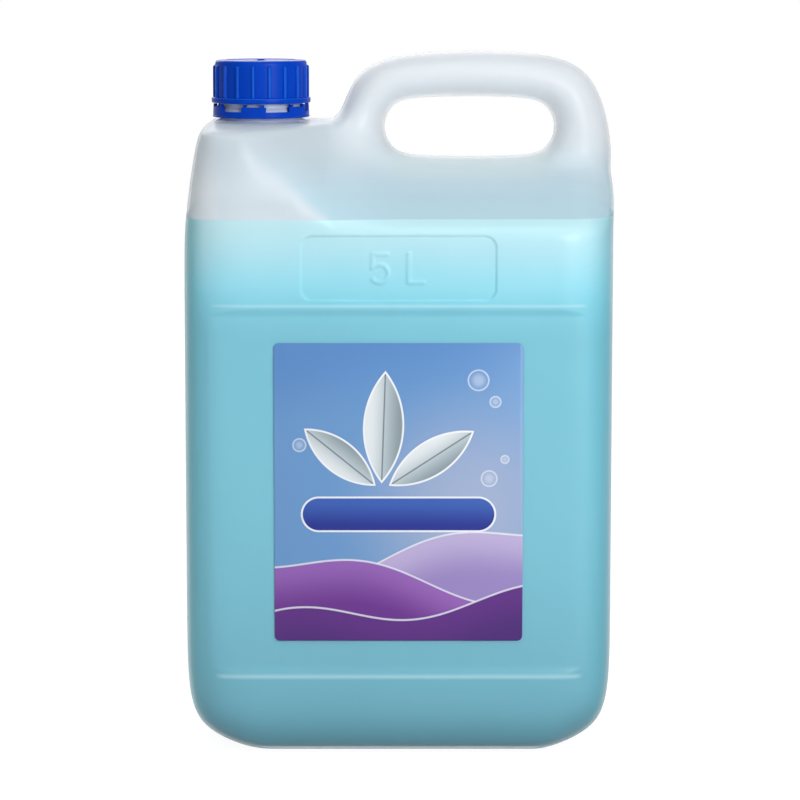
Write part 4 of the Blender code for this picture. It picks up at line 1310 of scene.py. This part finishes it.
# A bubble's middle and radius
BUBBLES = ((33.0, 47.0, 4.2), (40.0, 38.0, 2.2), (-41.0, 20.0, 2.6), (37.5, 6.0, 3.2), (44.0, 14.0, 1.6))
BAR_MIDDLE = -9.0
BAR_HALF = 33.0
WHITE_INK = (232, 234, 240)


def leaf(finish, u, v, root, turn, length, width):
    """A leaf's shape where two discs overlap. Returns its cover, its inside and the place across it."""
    half = length / 2
    bulge = (half * half - width * width / 4) / width
    side = u - (root[0] + half * math.cos(turn))
    rise = v - (root[1] + half * math.sin(turn))
    along = side * math.cos(turn) + rise * math.sin(turn)
    across = rise * math.cos(turn) - side * math.sin(turn)
    edge = finish.distance(along, finish.math("ABSOLUTE", across) + bulge) - (bulge + width / 2)
    return finish.eased(edge, 0.12, -0.12), finish.eased(edge, -0.55, -0.95), across


def label_finish(colours):
    """The label's print: a blue ground, violet hills, silver leaves, bubbles and a bare navy bar."""
    finish = Finish("label_film", ior=1.5, specular_ior_level=0.35)
    x, y, z = finish.axes()
    u = x * 1000.0
    v = (z - LABEL_MIDDLE) * 1000.0
    ground = finish.tones(
        colours.label_sky,
        (finish.eased(finish.distance(u - 30.0, v + 8.0), 62.0, 6.0) * 0.85, (164, 176, 204)),
        (finish.eased(v - u * 0.2, 30.0, 66.0) * 0.5, (70, 122, 190)),
    )

    for lift, slant, phase, tone, deep in HILLS:
        crest = v - u * slant - finish.math("SINE", u * 0.062 + phase) * 5.0 - lift
        deep = steady(deep) if deep else colours.label_violet
        hill = finish.mix(finish.eased(crest, 0.0, -20.0), steady(tone), deep)
        ground = finish.mix(finish.eased(crest, 0.12, -0.12), ground, hill)
        ground = finish.tones(ground, (finish.near(crest, 0.55, 0.25) * 0.75, WHITE_INK))

    for place in LEAVES:
        cover, inside, across = leaf(finish, u, v, *place)
        face = finish.tones(
            colours.label_silver,
            (finish.eased(across, -2.5, 6.0), (224, 230, 232)),
            (finish.eased(across, 0.0, -7.0) * 0.75, (122, 136, 144)),
            (finish.near(across, 0.45, 0.15), (116, 128, 138)),
        )
        ground = finish.tones(ground, (cover, (238, 240, 244)))
        ground = finish.mix(inside, ground, face)

    for middle_u, middle_v, radius in BUBBLES:
        away = finish.distance(u - middle_u, v - middle_v)
        ring = finish.near(away - radius, 0.5, 0.1)
        disc = finish.eased(away, radius, radius * 0.2)
        ground = finish.tones(ground, (disc * 0.35, WHITE_INK), (ring * 0.6, WHITE_INK))

    past_end = finish.math("MAXIMUM", finish.math("ABSOLUTE", u) - BAR_HALF, 0.0)
    bar = finish.distance(v - BAR_MIDDLE, past_end)
    blue = finish.tones(colours.label_navy, (finish.eased(v, -15.0, -3.0), (54, 92, 176)))
    ground = finish.tones(ground, (finish.eased(bar, 7.6, 7.4), WHITE_INK))
    finish.set("Base Color", finish.mix(finish.eased(bar, 6.8, 6.6), ground, blue))
    grain = finish.noise(900, 2.0)
    finish.set("Roughness", 0.28 + grain * 0.06)
    finish.bump(grain, 0.05, 0.0001)
    return finish.material


# Operators


def placed(piece, body, slot, *nodes):
    """Puts a finished piece on its body, in place of the nodes that it stands for. Its slot is not used."""
    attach(piece, body)
    if nodes:
        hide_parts(*nodes)
    return piece


class REFILL_OT_can(bpy.types.Operator):
    """Builds the see-through can and the thread on its neck"""

    bl_idname = "refill.can"
    bl_label = "Can"

    def execute(self, context):
        sizes = context.scene.refill_sizes
        finish = wall_finish(context.scene.refill_colours)
        shell = piece_from_bmesh("can_shell", build_can(sizes), finish)
        placed(shell, "can", "milky_polyethylene", "bottle")
        ridge = thread_ridge(NECK_RADIUS, THREAD_RISE, NECK_THREAD_START)
        placed(piece_from_bmesh("neck_thread", ridge, finish), "can", "milky_polyethylene")
        return {"FINISHED"}


class REFILL_OT_liquid(bpy.types.Operator):
    """Fills the can with hand wash up to its level"""

    bl_idname = "refill.liquid"
    bl_label = "Hand wash"

    def execute(self, context):
        finish = liquid_finish(context.scene.refill_colours)
        liquid = piece_from_bmesh("soap_fill", build_liquid(context.scene.refill_sizes), finish)
        placed(liquid, "can", "liquid_soap", "hand_wash")
        return {"FINISHED"}


class REFILL_OT_label(bpy.types.Operator):
    """Lays the printed film in the front panel"""

    bl_idname = "refill.label"
    bl_label = "Label"

    def execute(self, context):
        finish = label_finish(context.scene.refill_colours)
        placed(piece_from_bmesh("label_sheet", build_label(), finish), "can", "label_film", "front_label")
        return {"FINISHED"}


class REFILL_OT_closure(bpy.types.Operator):
    """Builds the cap, its thread, the wad and the tamper band"""

    bl_idname = "refill.closure"
    bl_label = "Closure"

    def execute(self, context):
        colour = context.scene.refill_colours.cap
        cap_blue = plastic_finish("cap_blue", colour)
        cap = piece_from_bmesh("ribbed_cap", build_cap(context.scene.refill_sizes), cap_blue)
        placed(cap, "cap", "cap_blue", "screw_cap")
        ridge = thread_ridge(CAP_BORE, -THREAD_RISE, CAP_THREAD_START)
        placed(piece_from_bmesh("cap_thread", ridge, cap_blue), "cap", "cap_blue")
        band = piece_from_bmesh("castle_band", build_band(), plastic_finish("band_blue", colour))
        placed(band, "can", "band_blue", "tamper_band")
        wad = piece_from_bmesh("foam_disc", build_wad(), foam_finish())
        placed(wad, "wad", "foam_wad", "cap_liner")
        return {"FINISHED"}


# The stage

WORLD_LIGHT = 0.28
MIRRORED_LIGHT = 0.5
MIRRORED_FROM = (-0.2, 0.6)
FLOOR_SIZE = 6.0
FLOOR_GLOW = 1.32
FLOOR_GLOW_SHARE = 0.72
# A lamp's name, place, target, size and power
LAMPS = (
    ("key", (0.56, -1.15, 0.56), (0.0, 0.0, 0.17), (0.5, 0.7), 11.4),
    ("top", (-0.1, -0.35, 1.5), (0.0, 0.0, 0.15), (1.2, 0.9), 6.7),
    ("fill", (-0.60, -1.60, 0.55), (0.0, 0.0, 0.15), (0.7, 1.0), 1.5),
    ("rear", (-0.30, 1.50, 0.90), (0.0, 0.0, 0.15), (1.0, 0.8), 6.0),
)
LENS = 152
SENSOR = 36
CAMERA_AIM = Vector((0.0006, 0.0, 0.1437))
CAMERA_ELEVATION = math.radians(7.7)
CAMERA_DISTANCE = 1.46


def math_node(tree, operation, *values):
    """A Math node of sockets and numbers. Returns its result."""
    node = tree.nodes.new("ShaderNodeMath")
    node.operation = operation
    for value, socket in zip(values, node.inputs):
        if isinstance(value, float):
            socket.default_value = value
        else:
            tree.links.new(value, socket)
    return node.outputs[0]


def seen_share(tree, reflected=1.0):
    """1 for the rays that show the stage, 0 for those that light with it. A field may dim reflections."""
    path = tree.nodes.new("ShaderNodeLightPath")
    mirrored = math_node(tree, "MULTIPLY", path.outputs["Is Glossy Ray"], reflected)
    seen = math_node(tree, "MAXIMUM", path.outputs["Is Camera Ray"], mirrored)
    return math_node(tree, "MAXIMUM", seen, path.outputs["Is Transmission Ray"])


def set_backdrop(scene):
    """A white backdrop that lights the piece less than it shows, and dims what mirrors the front."""
    world = bpy.data.worlds.new("backdrop")
    scene.world = world
    world.use_nodes = True
    tree = world.node_tree
    direction = tree.nodes.new("ShaderNodeSeparateXYZ")
    tree.links.new(tree.nodes.new("ShaderNodeTexCoord").outputs["Generated"], direction.inputs[0])
    behind = tree.nodes.new("ShaderNodeMapRange")
    behind.interpolation_type = "SMOOTHSTEP"
    behind.inputs["From Min"].default_value, behind.inputs["From Max"].default_value = MIRRORED_FROM
    behind.inputs["To Max"].default_value = MIRRORED_LIGHT
    tree.links.new(direction.outputs["Y"], behind.inputs["Value"])
    level = tree.nodes.new("ShaderNodeMapRange")
    level.inputs["To Min"].default_value = WORLD_LIGHT
    level.inputs["To Max"].default_value = 1.0
    tree.links.new(seen_share(tree, behind.outputs["Result"]), level.inputs["Value"])
    background = tree.nodes["Background"]
    background.inputs["Color"].default_value = (1, 1, 1, 1)
    tree.links.new(level.outputs["Result"], background.inputs["Strength"])


def floor_finish():
    """A pale floor that takes the shadow and glows enough to meet the backdrop."""
    material = bpy.data.materials.new("floor")
    material.use_nodes = True
    tree = material.node_tree
    shader = tree.nodes["Principled BSDF"]
    shader.inputs["Roughness"].default_value = 0.9
    shader.inputs["Base Color"].default_value = (0.55, 0.56, 0.58, 1)
    glow = tree.nodes.new("ShaderNodeEmission")
    glow.inputs["Strength"].default_value = FLOOR_GLOW
    blend = tree.nodes.new("ShaderNodeMixShader")
    share = math_node(tree, "MULTIPLY", seen_share(tree), FLOOR_GLOW_SHARE)
    for output, socket in zip((share, shader.outputs[0], glow.outputs[0]), blend.inputs):
        tree.links.new(output, socket)
    tree.links.new(blend.outputs[0], tree.nodes["Material Output"].inputs["Surface"])
    return material


def light(name, place, target, size, power):
    """A soft area lamp that faces a target."""
    lamp = bpy.data.lights.new(name, "AREA")
    lamp.shape = "RECTANGLE"
    lamp.size, lamp.size_y = size
    lamp.energy = power
    obj = bpy.data.objects.new(name, lamp)
    obj.location = place
    obj.rotation_euler = (Vector(target) - Vector(place)).to_track_quat("-Z", "Y").to_euler()
    bpy.context.scene.collection.objects.link(obj)


def add_camera(scene):
    """The camera, straight on and a little above the can's middle."""
    camera = bpy.data.objects.new("camera", bpy.data.cameras.new("camera"))
    camera.data.lens = LENS
    camera.data.sensor_width = SENSOR
    away = Vector((0.0, math.cos(CAMERA_ELEVATION), -math.sin(CAMERA_ELEVATION)))
    camera.location = CAMERA_AIM - away * CAMERA_DISTANCE
    camera.rotation_euler = (math.pi / 2 - CAMERA_ELEVATION, 0.0, 0.0)
    scene.collection.objects.link(camera)
    scene.camera = camera


class REFILL_OT_stage(bpy.types.Operator):
    """Sets the pale floor, the white backdrop, the soft lamps and the camera"""

    bl_idname = "refill.stage"
    bl_label = "Stage"

    def execute(self, context):
        scene = context.scene
        scene.view_settings.view_transform = "Standard"
        set_backdrop(scene)
        bm = bmesh.new()
        bmesh.ops.create_grid(bm, x_segments=2, y_segments=2, size=FLOOR_SIZE)
        floor = piece_from_bmesh("floor", bm, floor_finish())
        for lamp in LAMPS:
            light(*lamp)
        add_camera(scene)
        return {"FINISHED"}


class REFILL_PT_panel(bpy.types.Panel):
    """Lists the refill's pieces and settings"""

    bl_idname = "REFILL_PT_panel"
    bl_label = "Refill Can"
    bl_space_type = "VIEW_3D"
    bl_region_type = "UI"
    bl_category = "Refill Can"

    def draw(self, context):
        for operator in OPERATORS:
            self.layout.operator(operator.bl_idname)
        for group in (context.scene.refill_sizes, context.scene.refill_colours):
            for name in group.__annotations__:
                self.layout.prop(group, name)


OPERATORS = (REFILL_OT_can, REFILL_OT_liquid, REFILL_OT_label, REFILL_OT_closure, REFILL_OT_stage)
CLASSES = (RefillSizes, RefillColours) + OPERATORS + (REFILL_PT_panel,)


def register():
    """Registers the classes and their settings."""
    for cls in CLASSES:
        bpy.utils.register_class(cls)
    bpy.types.Scene.refill_sizes = PointerProperty(type=RefillSizes)
    bpy.types.Scene.refill_colours = PointerProperty(type=RefillColours)


def unregister():
    """Removes the classes and their settings."""
    del bpy.types.Scene.refill_sizes
    del bpy.types.Scene.refill_colours
    for cls in reversed(CLASSES):
        bpy.utils.unregister_class(cls)


def main():
    """Builds every piece."""
    register()
    bpy.ops.refill.can()
    bpy.ops.refill.liquid()
    bpy.ops.refill.label()
    bpy.ops.refill.closure()
    bpy.ops.refill.stage()


if __name__ == "__main__":
    main()
